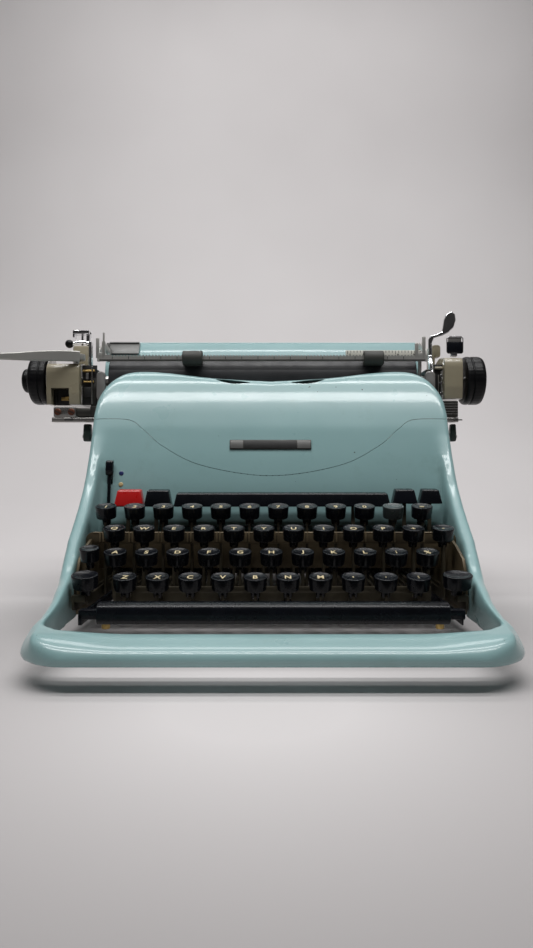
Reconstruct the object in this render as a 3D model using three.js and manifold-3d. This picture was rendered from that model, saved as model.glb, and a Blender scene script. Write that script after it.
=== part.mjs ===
// Manual office typewriter of the 1950s: a sculpted cast body with a front hand rail, a lift-off ribbon
// cover, a four-row keyboard on pivoting key levers, and a travelling carriage with platen and return lever.
// Units are millimetres. Design frame: +X to the typist's right, +Y towards the back, +Z up, table at z = 0,
// keyboard centred on x = 0. The last lines move the whole machine so that the origin is the middle of its
// base.
import * as THREE from "three";
import { mergeVertices } from "three/addons/utils/BufferGeometryUtils.js";
import Module from "manifold-3d";

const wasm = await Module();
wasm.setup();

// ---------------------------------------------------------------- driving dimensions
const BODY_HALF = 131; // half width of the cast body
const BODY_X = 3; // the body's middle, a little right of the keyboard's
const FRONT_HALF = 126.5; // the body narrows towards its front corners
const BODY_FRONT = -186; // front face of the hand rail
const BODY_BACK = 184;
const BODY_BOTTOM = 12; // the rubber feet hold the casting off the table
const DECK_TOP = 140; // rear deck that the carriage runs over
const HOOD_BACK = 42; // rear edge of the ribbon cover, just ahead of the platen
const WALL = 3;
const GAP = 0.4; // clearance between neighbouring pieces
const WELL_HALF = 122; // half width of the keyboard well
const WELL_FRONT = -163;

const KEY_PITCH = 19.05;
const KEY_RADIUS = 7;
const CAP_HEIGHT = 7.5;
const STEM_WIDTH = 1.6;
const KEY_TILT = 13; // degrees that each key top leans towards the typist
const LEVER_LOW = 22; // underside of the key levers
const LEVER_HIGH = 28;
const KEY_PIVOT = { y: 112, z: 30 };
// One entry per row, back to front: key count, x of the first key, y and top height of its caps,
// and the cross bar that joins the row's levers (the front row's ten keys stay separate).
const KEY_ROWS = [
  { name: "keys_row_numbers", count: 12, x: -106.5, y: -44, top: 81, bar: { y: 30, z: 36 } },
  { name: "keys_row_upper", count: 12, x: -97, y: -62.7, top: 68, bar: { y: 48, z: 36 } },
  { name: "keys_row_home", count: 11, x: -92.25, y: -81.4, top: 55, bar: { y: 66, z: 36 } },
  { name: "key_front", count: 10, x: -82.7, y: -100, top: 42.5 },
];

const PLATEN = { y: 64, z: 178, radius: 20, half: 124 };
const CARRIAGE_X = -10.5; // the carriage stands a little left of centre
const KNOB_RADIUS = 19.5;

// ---------------------------------------------------------------- solids
const machine = new THREE.Group();
const V = (x, y, z = 0) => new THREE.Vector3(x, y, z);

function solid(geometry) {
  const g = geometry.clone();
  for (const name of Object.keys(g.attributes)) if (name !== "position") g.deleteAttribute(name);
  const merged = mergeVertices(g, 1e-4);
  const vertProperties = merged.attributes.position.array;
  const triVerts = new Uint32Array(merged.index.array);
  const made = new wasm.Manifold(new wasm.Mesh({ numProp: 3, vertProperties, triVerts }));
  if (made.volume() > 0) return made;
  // A profile drawn the other way round comes out inside out: turn each face over.
  return new wasm.Manifold(new wasm.Mesh({ numProp: 3, vertProperties, triVerts: triVerts.reverse() }));
}

function geometryOf(manifold) {
  const mesh = manifold.getMesh();
  const position = new Float32Array(mesh.numVert * 3);
  for (let i = 0; i < mesh.numVert; i++)
    position.set(mesh.vertProperties.subarray(i * mesh.numProp, i * mesh.numProp + 3), i * 3);
  return new THREE.BufferGeometry()
    .setAttribute("position", new THREE.BufferAttribute(position, 3))
    .setIndex(new THREE.BufferAttribute(new Uint32Array(mesh.triVerts), 1));
}

// A box from its low corner to its high corner.
function box(low, high) {
  const size = high.map((h, i) => h - low[i]);
  const mid = high.map((h, i) => (h + low[i]) / 2);
  return solid(new THREE.BoxGeometry(...size).translate(...mid));
}

// Prisms of a closed 2D outline. prismX takes (y, z), prismY takes (x, z) and prismZ takes (x, y).
function prism(points, depth) {
  const shape = new THREE.Shape(points.map(([a, b]) => new THREE.Vector2(a, b)));
  return new THREE.ExtrudeGeometry(shape, { depth, bevelEnabled: false });
}
const AXES_X = new THREE.Matrix4().makeBasis(V(0, 1, 0), V(0, 0, 1), V(1, 0, 0));
const AXES_Y = new THREE.Matrix4().makeBasis(V(1, 0, 0), V(0, 0, 1), V(0, -1, 0));
const prismX = (points, x0, x1) => solid(prism(points, x1 - x0).applyMatrix4(AXES_X).translate(x0, 0, 0));
const prismY = (points, y0, y1) => solid(prism(points, y1 - y0).applyMatrix4(AXES_Y).translate(0, y1, 0));
const prismZ = (points, z0, z1) => solid(prism(points, z1 - z0).translate(0, 0, z0));

// A smooth curve through the points, as a list of 2D points.
function smooth(points, steps) {
  const curve = new THREE.SplineCurve(points.map(([a, b]) => new THREE.Vector2(a, b)));
  return curve.getPoints(steps).map((p) => [p.x, p.y]);
}

// A turned solid about an axis through (x, y, z). The profile holds (radius, distance along the axis).
function turned(profile, axis, [x, y, z], sides = 16) {
  const lathe = new THREE.LatheGeometry(profile.map(([r, d]) => new THREE.Vector2(r, d)), sides);
  if (axis === "x") lathe.rotateZ(-Math.PI / 2);
  if (axis === "z") lathe.rotateX(Math.PI / 2);
  return solid(lathe.translate(x, y, z));
}
const rod = (axis, from, length, radius, sides = 12) =>
  turned([[0, 0], [radius, 0], [radius, length], [0, length]], axis, from, sides);

// A rounded rectangle in the plane of two axes, as 2D points.
function roundedRect(a0, b0, a1, b1, radius, steps = 3) {
  const corners = [[a1 - radius, b1 - radius, 0], [a0 + radius, b1 - radius, 1],
    [a0 + radius, b0 + radius, 2], [a1 - radius, b0 + radius, 3]];
  return corners.flatMap(([a, b, quarter]) =>
    Array.from({ length: steps + 1 }, (_, i) => {
      const t = ((quarter + i / steps) * Math.PI) / 2;
      return [a + radius * Math.cos(t), b + radius * Math.sin(t)];
    }));
}

const union = (list) => list.reduce((a, b) => a.add(b));

function part(name, manifold, colour, roughness = 0.5, metalness = 0) {
  const material = new THREE.MeshStandardMaterial({ color: colour, roughness, metalness });
  const mesh = new THREE.Mesh(geometryOf(manifold), material);
  mesh.name = name;
  machine.add(mesh);
  return manifold;
}

const PAINT = 0x8fb3b4;
const BLACK = 0x141518;
const BEIGE = 0x8a8168;
const STEEL = 0xb9babb;
const CHROME = 0xd9dadb;
const BRONZE = 0x5b4a2c;

// ---------------------------------------------------------------- cast body and ribbon cover
// Side view (y, z): hand rail, low side walls, the sweep up to the hood, its crown, the rear deck.
const RAIL_PROFILE = [[BODY_FRONT, BODY_BOTTOM], [BODY_FRONT - 0.5, 17], [-183, 22], [-176, 25.5]];
const SWEEP = smooth([[-166, 26.5], [-140, 31], [-112, 37], [-84, 43.5], [-58, 62], [-38, 78],
  [-20, 96], [-8, 114], [2, 132], [11.5, 150], [21, 164.5], [30, 172.5], [HOOD_BACK, 176]], 28);

function sideProfile(inset, crown) {
  const lift = crown ? 7 : 0; // the crown stands higher at the two shoulders than the plain side view
  const sweep = SWEEP.map(([y, z]) => [y + inset, z - inset + lift * Math.max(0, (z - 130) / 42)]);
  const rear = [[HOOD_BACK - (inset ? -1 : 0), DECK_TOP - inset], [150, DECK_TOP - inset], [172,
    130 - inset],
    [BODY_BACK - inset, 104], [BODY_BACK - inset, BODY_BOTTOM - inset]];
  const front = inset ? [[-166 + inset, BODY_BOTTOM - inset]] : RAIL_PROFILE;
  return [...front, ...sweep, ...rear];
}

// Front view (x, z) of the hood: a shallow dip in the middle, two shoulders, rounded corners, plumb sides.
function hoodSection(inset) {
  const right = smooth([[0, 172.6], [44, 175.4], [78, 179.4], [98, 180.6], [111, 178.8], [120.5, 172.5],
    [126, 165.5], [129.5, 157.5], [BODY_HALF, 147], [BODY_HALF, 128]], 16)
    .map(([x, z]) => [x * (1 - inset / BODY_HALF), z - inset])
    .reverse();
  const left = right.slice(0, -1).map(([x, z]) => [-x, z]).reverse();
  return [[-BODY_HALF + inset, 0], [BODY_HALF - inset, 0], ...right, ...left];
}

// Plan (x, y): sides that narrow towards rounded front corners, and a softly rounded back.
function planOutline(half, frontHalf, front, back, radius) {
  const share = (y) => THREE.MathUtils.clamp((-60 - y) / 93, 0, 1);
  const narrowed = (x, y) => (x * (half + (frontHalf - half) * share(y))) / half;
  const [first, ...rest] = roundedRect(-half, front, half, back, radius, 5);
  const sides = [-1, 1].map((side) => [side * half, -60]);
  return [first, ...rest.slice(0, 11), sides[0], ...rest.slice(11), sides[1]]
    .map(([x, y]) => [narrowed(x, y), y]);
}
const bodyPlan = (inset) => planOutline(BODY_HALF - inset, FRONT_HALF - inset, BODY_FRONT - 1 + inset,
  BODY_BACK + 0.5 - inset, 34 - inset);

const SIDE_SPAN = [-BODY_HALF - 2, BODY_HALF + 2];
const outer = prismX(sideProfile(0, true), ...SIDE_SPAN)
  .intersect(prismY(hoodSection(0), BODY_FRONT - 5, BODY_BACK + 5))
  .intersect(prismZ(bodyPlan(0), 0, 200));
const cavity = prismX(sideProfile(WALL, true), ...SIDE_SPAN)
  .intersect(prismY(hoodSection(WALL), -30, BODY_BACK + 5))
  .intersect(prismZ(bodyPlan(WALL), -5, 200));

// The keyboard well is open above and below, and ends at the front face of the hood.
const WELL_BACK = smooth([[-14, 40], [-12, 66], [-9, 90], [-4, 112], [3, 134], [8, 150]], 10);
const well = prismX([[WELL_FRONT, -5], [WELL_FRONT, 150], ...WELL_BACK.slice().reverse(), [-14, -5]],
  -WELL_HALF, WELL_HALF)
  .intersect(prismZ(planOutline(WELL_HALF, WELL_HALF - BODY_HALF + FRONT_HALF, WELL_FRONT, 60, 16),
    -10, 200));
const innerRoom = cavity.subtract(
  prismX([[-60, -10], [-60, 160], ...WELL_BACK.map(([y, z]) => [y + WALL, z]).reverse(), [-14 + WALL, -10]],
    -WELL_HALF - WALL, WELL_HALF + WALL));
// Side walls beside the well stay thick, so the room behind starts at the hood.
const room = innerRoom.intersect(box([-BODY_HALF, -11 + WALL, -10], [BODY_HALF, BODY_BACK, 200]));
// The hood is open to the back above the deck, and the deck is open over the type basket.
const deckOpening = box([-105, HOOD_BACK - 2, DECK_TOP - 10], [105, 90, 200]);
// Below the hood's front face the key levers run back into the machine.
const leverOpening = box([-119, -24, -5], [119, -5, 64]);
const casting = outer.subtract(well).subtract(room).subtract(deckOpening).subtract(leverOpening)
  .translate([BODY_X, 0, 0]);

// The seam between cover and body: level over the shoulders, then down to a round tongue in the middle.
const SEAM = smooth([[-140, 142], [-106, 142], [-93, 134.5], [-78, 122], [-49, 108], [0, 100.7],
  [49, 108], [78, 122], [93, 134.5], [106, 142], [140, 142]], 30).map(([x, z]) => [x + BODY_X, z]);
const aboveSeam = (offset) =>
  prismY([...SEAM.map(([x, z]) => [x, z + offset]), [145, 230], [-140, 230]], -60, HOOD_BACK + 0.05);
// Two almond-shaped slits below the rear edge of the crown.
const EYELID = [[-39, 174.2], [-32, 173.9], [-25, 173.2], [-18, 172.3], [-12.5, 171.4], [-18, 170.5],
  [-25, 170.3], [-32, 171.5]];
const eyelid = (side) => prismY(EYELID.map(([x, z]) => [side > 0 ? 2 * BODY_X - x : x, z]), 15, 46);
const cover = casting.intersect(aboveSeam(GAP)).subtract(eyelid(-1)).subtract(eyelid(1));
part("ribbon_cover", cover, PAINT, 0.35);
const SELECTOR_SLOT = box([-113.9, -30, 94.5], [-109.9, 14, 111.8]);
const body = casting.subtract(aboveSeam(0)).subtract(SELECTOR_SLOT);
part("body_shell", body, PAINT, 0.35);

// ---------------------------------------------------------------- keys and their levers
// A round key: dished top leaning to the typist, deep skirt, narrow neck on a flat lever.
function keyCap(x, y, top, radius = KEY_RADIUS, stretch = 1) {
  const profile = [[0, -13], [1.8, -13], [2.2, -CAP_HEIGHT], [radius, -5.2], [radius, -0.3], [0, -1]];
  return turned(profile, "z", [0, 0, 0], 10).scale([stretch, 1, 1])
    .rotate([KEY_TILT, 0, 0]).translate([x, y, top]);
}

// The flat lever under a key: a riser below the cap and a bar back to the pivot.
function keyLever(x, y, top, lane = x, width = STEM_WIDTH) {
  const back = KEY_PIVOT.y - 5;
  const outline = [[y - 2, LEVER_LOW], [back, LEVER_LOW + 3], [back, LEVER_HIGH + 3], [y + 4, LEVER_HIGH],
    [y + 3, top - 11], [y - 2, top - 11]];
  return prismX(outline, lane - width / 2, lane + width / 2);
}

for (const row of KEY_ROWS) {
  const keys = Array.from({ length: row.count }, (_, i) => {
    const x = row.x + i * KEY_PITCH;
    return keyCap(x, row.y, row.top).add(keyLever(x, row.y, row.top));
  });
  if (row.bar) {
    const { y, z } = row.bar;
    const ends = [row.x - STEM_WIDTH / 2, row.x + (row.count - 1) * KEY_PITCH + STEM_WIDTH / 2];
    const posts = keys.map((_, i) => {
      const x = row.x + i * KEY_PITCH;
      return box([x - STEM_WIDTH / 2, y - 2, LEVER_LOW + 3], [x + STEM_WIDTH / 2, y + 2, z + 1]);
    });
    part(row.name, union([...keys, ...posts, box([ends[0], y - 2, z], [ends[1], y + 2, z + 4])]), BLACK);
  } else keys.forEach((key, i) => part(`${row.name}_${i + 1}`, key, BLACK));
}

const FRONT = KEY_ROWS[3];
const HOME = KEY_ROWS[2];
const SHIFT_TOP = 43.5;
const shiftKey = (x, lane) =>
  union([
    keyCap(x, FRONT.y, SHIFT_TOP, KEY_RADIUS, 1.24),
    keyLever(lane, FRONT.y, SHIFT_TOP - 3, lane),
    box([Math.min(x, lane) - 0.8, FRONT.y - 2, SHIFT_TOP - 16], [Math.max(x, lane) + 0.8, FRONT.y + 3,
      SHIFT_TOP - 12]),
  ]);
part("shift_key_left", shiftKey(-107, -112.4), BLACK);
part("shift_key_right", shiftKey(111.5, 116.4), BLACK);
part("shift_lock_key", keyCap(-108, HOME.y, 57, 6).add(keyLever(-109.2, HOME.y, 56, -109.2, 1.3)), BLACK);

// Space bar on two arms that run back outside the front keys.
const SPACE = { left: -92, right: 99.5, y0: -131, y1: -119, low: 20.5, high: 32, armPivot: 0, armLow: 19.5,
  armHigh: 25.5 };
const spaceSection = roundedRect(SPACE.y0, SPACE.low, SPACE.y1, SPACE.high, 3.2, 2);
const spaceArm = (lane, end) =>
  box([lane - 1, -127, SPACE.armLow], [lane + 1, SPACE.armPivot, SPACE.armHigh]).add(
    box([Math.min(lane - 1, end - 2), -127, 22.5], [Math.max(lane + 1, end + 2), -121, 28]));
part("space_bar", union([prismX(spaceSection, SPACE.left, SPACE.right),
  spaceArm(-101.7, SPACE.left), spaceArm(107.5, SPACE.right)]), BLACK);

// Function keys behind the number row: wedge-shaped caps on upright stems.
const UPPER = { y: -22, top: 91, low: 79.5 };
function wedgeCap(x0, x1, top, low) {
  const taper = 2;
  const face = [[x0, low], [x1, low], [x1 - taper, top], [x0 + taper, top]];
  const side = [[UPPER.y - 6, low], [UPPER.y + 6, low], [UPPER.y + 4.5, top], [UPPER.y - 3.5, top - 1]];
  return prismY(face, UPPER.y - 8, UPPER.y + 8).intersect(prismX(side, x0 - 1, x1 + 1));
}
const upperStem = (x) => box([x - 1.2, UPPER.y - 1.5, 44], [x + 1.2, UPPER.y + 1, UPPER.low + 4]);
part("margin_release_key", wedgeCap(-105, -85, 91.5, 79.5).add(upperStem(-96)), 0xb8141a);
part("backspace_key", wedgeCap(-84.4, -65.6, 91.5, 79.5).add(upperStem(-76.5)), BLACK);
part("tabulator_bar", union([wedgeCap(-64, 85.5, 89.5, 79.5), upperStem(-50), upperStem(60)]), BLACK);
part("tab_clear_key", wedgeCap(87, 104, 92, 81.5).add(upperStem(95.5)), BLACK);
part("tab_set_key", wedgeCap(105.5, 121, 92, 81.5).add(upperStem(113)), BLACK);

// ---------------------------------------------------------------- keyboard frame, comb and type action
const PLATE = [[-80, 16], [-14.5, 14], [124, 14], [124, 40], [-10, 40], [-15, 60], [-40, 62], [-78, 50],
  [-84, 34], [-84, 20]];
const framePlate = (x) => prismX(PLATE, x - 0.9, x + 0.9);
// The guard lies between the number row and the row in front of it, with rounded shoulders.
const guard = [[-118.2, 56.5], [124.2, 56.5], [124.2, 61.5], [123, 64], [120.4, 65.2], [-114.4, 65.2],
  [-117, 64], [-118.2, 61.5]];
part("keyboard_frame", union([framePlate(-114.9), framePlate(121), prismY(guard, -50.2, -48.9),
  box([-115.2, -16.5, 56], [121, -14.5, 60]), box([-115.2, -31.5, 38], [121, -30, 56]),
  box([-115.2, 96, 33.5], [121, 103, 39.5]), box([-115.2, 121, 12.5], [121, 123, 40])])
  .subtract(rod("x", [-120, KEY_PIVOT.y, KEY_PIVOT.z], 245, 3.4, 12)), BRONZE, 0.6, 0.4);
const combSlots = Array.from({ length: FRONT.count }, (_, i) => {
  const x = FRONT.x + i * KEY_PITCH;
  return box([x - 2, -96, -1], [x + 2, -86, 31]);
});
part("key_comb", box([-90, -91.2, 20], [98, -89.4, 35]).subtract(union(combSlots)), BRONZE, 0.6, 0.4);

const BASKET = { x: 0, z: 146 };
function arc(inner, outerRadius, from, to, steps) {
  const ring = (r, reverse) => {
    const list = Array.from({ length: steps + 1 }, (_, i) => {
      const t = ((from + ((to - from) * i) / steps) * Math.PI) / 180;
      return [BASKET.x + r * Math.cos(t), BASKET.z + r * Math.sin(t)];
    });
    return reverse ? list.reverse() : list;
  };
  return [...ring(outerRadius, false), ...ring(inner, true)];
}
part("type_segment", union([prismY(arc(60, 74, 205, 335, 18), 22, 34), box([-76, 24, 62], [76, 32, 76])]),
  STEEL, 0.4, 0.8);
const TYPE_BARS = 21;
const typeBars = Array.from({ length: TYPE_BARS }, (_, i) => {
  const angle = 210 + (i * 120) / (TYPE_BARS - 1);
  return box([26, 24, -0.7], [59.3, 30, 0.7]).rotate([0, -angle, 0]).translate([BASKET.x, 0, BASKET.z]);
});
part("type_bars", union([...typeBars, prismY(arc(54, 58, 208, 332, 18), 30.2 - 1, 33)]), STEEL, 0.4, 0.8);

const SPOOL = { x: 104, y: 42, z: 116, radius: 19 };
const spoolProfile = [[0, 0], [SPOOL.radius, 0], [SPOOL.radius, 1], [7, 1], [7, 14], [SPOOL.radius, 14],
  [SPOOL.radius, 15], [0, 15]];
for (const [name, side] of [["ribbon_spool_left", -1], ["ribbon_spool_right", 1]])
  part(name, turned(spoolProfile, "z", [side * SPOOL.x, SPOOL.y, SPOOL.z]), STEEL, 0.3, 0.8);

// Ribbon selector: a long finger in front of the body's face, with a stem in the slot and a thumb piece.
const selectorFinger = [[-14, 75], [-12.2, 75], [-9.9, 90], [-7.5, 100.5], [-1, 103], [-1, 110],
  [-5.4, 110], [-5.1, 111], [-7, 111.4], [-11.8, 90]];
const selectorThumb = [[-10.6, 101], [-7.4, 101], [-5.2, 110.8], [-8, 112], [-10.2, 111], [-11.4, 105]];
part("ribbon_selector", prismX(selectorFinger, -113, -110.8).add(prismX(selectorThumb, -114.6, -109.2)),
  BLACK, 0.4);
part("name_badge", prismX([[-2.9, 119.8], [-2.1, 119.8], [0.05, 126.6], [-0.75, 126.6]], -26.6, 32.4),
  STEEL, 0.3, 0.7);

// Rubber feet under the casting's side walls.
const FEET = [["foot_front_left", -122, -120], ["foot_front_right", 122, -120],
  ["foot_rear_left", -124, 156], ["foot_rear_right", 124, 156]];
const footProfile = [[0, 0], [5.2, 0], [6, BODY_BOTTOM - 0.3], [0, BODY_BOTTOM - 0.3]];
for (const [name, x, y] of FEET) part(name, turned(footProfile, "z", [BODY_X + x, y, 0], 16), 0x1b1b1b, 0.9);

// ---------------------------------------------------------------- fixed pieces under the carriage
part("carriage_bed", prismX([[100, DECK_TOP + 0.3], [112, DECK_TOP + 0.3], [112, 144], [110, 146], [102,
  146],
  [100, 144]], -127, 132), STEEL, 0.35, 0.9);
part("mainspring_drum", turned([[0, 0], [25, 0], [25, 12], [20, 12], [18, 14], [0, 14]], "y", [-60, 150,
  104], 24),
  STEEL, 0.4, 0.8);
part("key_pivot_shaft", rod("x", [-124, KEY_PIVOT.y, KEY_PIVOT.z], 254, 3, 12), STEEL, 0.3, 0.9);

// A small latch lever on each side of the body, on a pin that stands out from the wall.
const LATCH = { y: 54, z: 132 };
const latchOutline = [[50, 128], [58, 128], [58.5, 134], [56, 142], [51, 142], [49.5, 134]];
const latch = (wall, inner, width) =>
  prismX(latchOutline, inner, inner + width)
    .add(rod("x", [wall, LATCH.y, LATCH.z], inner - wall + 1, 1.6, 10));
part("latch_right", latch(134.4, 147, 4.5), 0x23302b, 0.5);
part("latch_left", latch(128.4, 140.3, 6).mirror([1, 0, 0]), 0x23302b, 0.5);

// ---------------------------------------------------------------- carriage
const AXLE = { radius: 4, left: -175.2, right: 158.7, hole: 4.6 };
const bore = (x0, x1, radius = AXLE.hole) => rod("x", [x0, PLATEN.y, PLATEN.z], x1 - x0, radius, 16);
const RAIL = { left: -170, right: 152, low: 143.2, high: 147 };
part("carriage_rail", prismX([[46, RAIL.low], [53, RAIL.low], [53, RAIL.high], [47, RAIL.high], [46,
  RAIL.high - 1]],
  RAIL.left, RAIL.right), STEEL, 0.3, 0.9);

const TRAY = { low: RAIL.high + 0.3, high: 150 };
const bearing = (x0, x1) =>
  prismX([[50, TRAY.low], [84, TRAY.low], [84, 160], [74, 186], [54, 186], [50, 170]], x0, x1)
    .subtract(bore(x0 - 1, x1 + 1));
// A rounded finger stands in front of each end of the platen, on a block that joins it to the bearing.
const finger = (x0, x1) =>
  prismY(roundedRect(x0, 160, x1, 183, 3.2, 2), 43, 46).add(box([x0 + 1, 45, TRAY.low], [x1 - 1, 50.5,
    168]));
part("carriage_frame", union([
  box([-147, 54, TRAY.low], [137, 98, TRAY.high]),
  bearing(-140, -136), bearing(128, 132),
  finger(-134, -127), finger(125, 133),
  box([-140, 47, TRAY.low], [-128, 54.5, 156]), box([126, 47, TRAY.low], [137, 54.5, 156]),
  box([-169, 47, TRAY.low], [-139, 58, 155]), box([134, 47, TRAY.low], [152, 58, 160]),
]), STEEL, 0.4, 0.8);

// End covers: a bent plate that closes each end of the carriage, with the platen axle passing through.
const END_PROFILE = [[46, 157], [44.6, 166], [44.4, 183], [46.5, 188.5], [50, 190], [64, 191.5], [82, 188],
  [92, 179], [94, 160], [92, 157]];
const RIGHT_RAISE = 4.6; // the right end cover stands higher than the left one
const notch = box([-170.2, 40, 150], [-156, 54, 170]);
const tableHook = union([box([-152, 82, 184], [-149, 88, 222.5]), box([-163, 80, 219.5], [-149, 88, 223])]);
part("carriage_end_left", prismX(END_PROFILE, -174, -148).subtract(bore(-177, -140)).subtract(notch)
  .add(tableHook).add(rod("z", [-152, 52, 180], 19, 2.2, 10)), BEIGE, 0.5);
part("carriage_end_right", prismX(END_PROFILE.map(([y, z]) => [y, z + RIGHT_RAISE]), 141, 155)
  .subtract(bore(135, 160)), BEIGE, 0.5);

part("platen_core", rod("x", [AXLE.left, PLATEN.y, PLATEN.z], AXLE.right - AXLE.left, AXLE.radius, 16)
  .add(bore(-PLATEN.half, PLATEN.half - 6, 12)), STEEL, 0.3, 0.9);
part("platen_rubber", bore(-PLATEN.half - 1, PLATEN.half - 5, PLATEN.radius)
  .subtract(bore(-PLATEN.half - 2, PLATEN.half - 4, 12.4)), 0x1c1d1f, 0.6);

const knobProfile = (length) => [[0, 0], [KNOB_RADIUS - 1.5, 0], [KNOB_RADIUS, 1.5], [KNOB_RADIUS,
  length - 4],
  [KNOB_RADIUS - 3, length], [0, length]];
part("knob_right", turned(knobProfile(16), "x", [159, PLATEN.y, PLATEN.z], 28), BLACK, 0.3);
// The left knob has a pocket in its outer face that the clutch button sinks into.
const knobLeft = turned(knobProfile(15), "x", [175.5, PLATEN.y, PLATEN.z], 28)
  .subtract(bore(187.5, 195, 10.4));
part("knob_left", knobLeft.mirror([1, 0, 0]), BLACK, 0.3);
part("clutch_button", turned([[0, 0], [9.7, 0], [9.7, 6.4], [8, 7.7], [0, 7.7]], "x",
  [189.8, PLATEN.y, PLATEN.z], 20).mirror([1, 0, 0]), BLACK, 0.3);

// Return lever: an upright blade that sweeps from its hub out to the left and towards the typist.
const LEVER = { x: -152, y: 52, low: 192.6, high: 200, thick: 1.3 };
const blade = smooth([[-150, 44], [-170, 34], [-200, 20], [-235, 9], [-262, 4]], 10);
const bladeOutline = [...blade.map(([x, y]) => [x - 0.4, y - LEVER.thick]),
  ...blade.map(([x, y]) => [x + 0.4, y + LEVER.thick]).reverse()];
part("return_lever", union([prismZ(bladeOutline, LEVER.low - 3, LEVER.high - 2.5),
  rod("z", [LEVER.x, LEVER.y, LEVER.low], LEVER.high - LEVER.low - 2.5, 7, 18),
  box([-158, 43, LEVER.low], [-148, 52, LEVER.high - 2.5])])
  .subtract(rod("z", [LEVER.x, LEVER.y, 180], 30, 2.7, 14)), CHROME, 0.15, 1);

// Two levers that turn about the platen's axle: line-space selector at the left, paper release at the right.
const axleRing = (x0, x1) => bore(x0, x1, 9);
const LINE_BALL = { x: -160, y: 60.5, z: 207.6, radius: 3.4 };
part("line_space_lever", union([axleRing(-143.8, -141.4),
  prismX([[58, 182], [64, 184], [63, 209], [58, 209]], -143.8, -141.4),
  rod("x", [LINE_BALL.x, LINE_BALL.y, LINE_BALL.z], 17, 1.2, 10),
  wasm.Manifold.sphere(LINE_BALL.radius, 16).translate([LINE_BALL.x, LINE_BALL.y, LINE_BALL.z])])
  .subtract(bore(-145, -140)), CHROME, 0.2, 1);
const paddle = [[133.6, 196], [136.8, 196], [136.8, 212], [138.5, 214.6], [145, 216.2], [150, 218],
  [154.5, 223], [156.3, 229], [156, 234], [152.5, 236.5], [148.6, 234], [146, 229], [145.4, 222],
  [145.4, 219.2], [140, 217.8], [135.5, 216.5], [133.6, 213]];
part("paper_release_lever", union([axleRing(133.6, 136.6),
  prismX([[62, 182], [70, 182], [74, 200], [69, 200]], 133.6, 136.6),
  prismY(paddle, 69.5, 72)]).subtract(bore(130, 139)), CHROME, 0.2, 1);

part("carriage_release_key", prismY(roundedRect(143.6, 198, 157, 212, 2, 2), 49, 52)
  .add(box([147, 49.5, 195.8], [152, 53.5, 200])), BLACK, 0.3);

// Paper table: a thin curved plate on two brackets, with a guide at its left end.
const TABLE = smooth([[88, 168], [90, 190], [97, 207], [104, 216]], 8);
const sheetOutline = (line, from, to) => [...line.map(([y, z]) => [y + from, z]),
  ...line.map(([y, z]) => [y + to, z]).reverse()];
part("paper_table", union([prismX(sheetOutline(TABLE, 0, 2), -138, 131), box([-122, 87, TRAY.high + 0.3],
  [-116, 91, 172]), box([112, 87, TRAY.high + 0.3], [118, 91, 172])]), PAINT, 0.35);
part("paper_guide", prismX(sheetOutline(TABLE.slice(2), -2, -0.5), -137, -110), STEEL, 0.4, 0.6);

// Paper bail: a flat scale bar held by an arm at each end, with two rollers on it.
const BAIL = { y: 42, z: 193, pivotY: 80, pivotZ: 203, left: -133, right: 126.6 };
const bailArm = [[40.8, 190.5], [44, 190.5], [48, 198], [62, 203.5], [78, 199.5], [83, 203], [80, 207],
  [62, 209],
  [44, 201]];
const armPlate = (x0, x1, top) => prismY(roundedRect(x0, 193, x1, top, 2.5, 2), 41.2, 43);
part("paper_bail", union([box([BAIL.left, 41.4, 190.5], [BAIL.right, 42.6, 195.5]),
  prismX(bailArm, BAIL.left, BAIL.left + 2), prismX(bailArm, BAIL.right - 2, BAIL.right),
  armPlate(-134, -126.5, 209), armPlate(116.5, 125, 210)]), CHROME, 0.2, 1);
const bailRoller = (x) => turned([[3, -7.8], [5.4, -7.8], [5.8, -7], [5.8, 7], [5.4, 7.8], [3, 7.8], [3,
  -7.8]],
  "x", [x, BAIL.y, BAIL.z], 18);
part("bail_roller_left", bailRoller(-58), 0x26272a, 0.6);
part("bail_roller_right", bailRoller(84), 0x26272a, 0.6);
part("margin_scale", box([63, 49, 195.5], [123.4, 50, 200.5])
  .add(prismX([[49, 200], [50, 200], [50.4, 186], [54, 180], [54, 170], [51.5, 170], [51.5, 179], [48.8,
    185]],
    120.8, 123.4)), 0xe8e4d6, 0.5);

// ---------------------------------------------------------------- origin: the middle of the base
machine.updateMatrixWorld(true);
const bounds = new THREE.Box3().setFromObject(machine);
machine.position.set(-(bounds.min.x + bounds.max.x) / 2, -(bounds.min.y + bounds.max.y) / 2, -bounds.min.z);
const typewriter = new THREE.Group();
typewriter.add(machine);

export default typewriter;
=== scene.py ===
import math
import bmesh
import bpy
import numpy as np
from mathutils import Matrix, Vector

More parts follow.
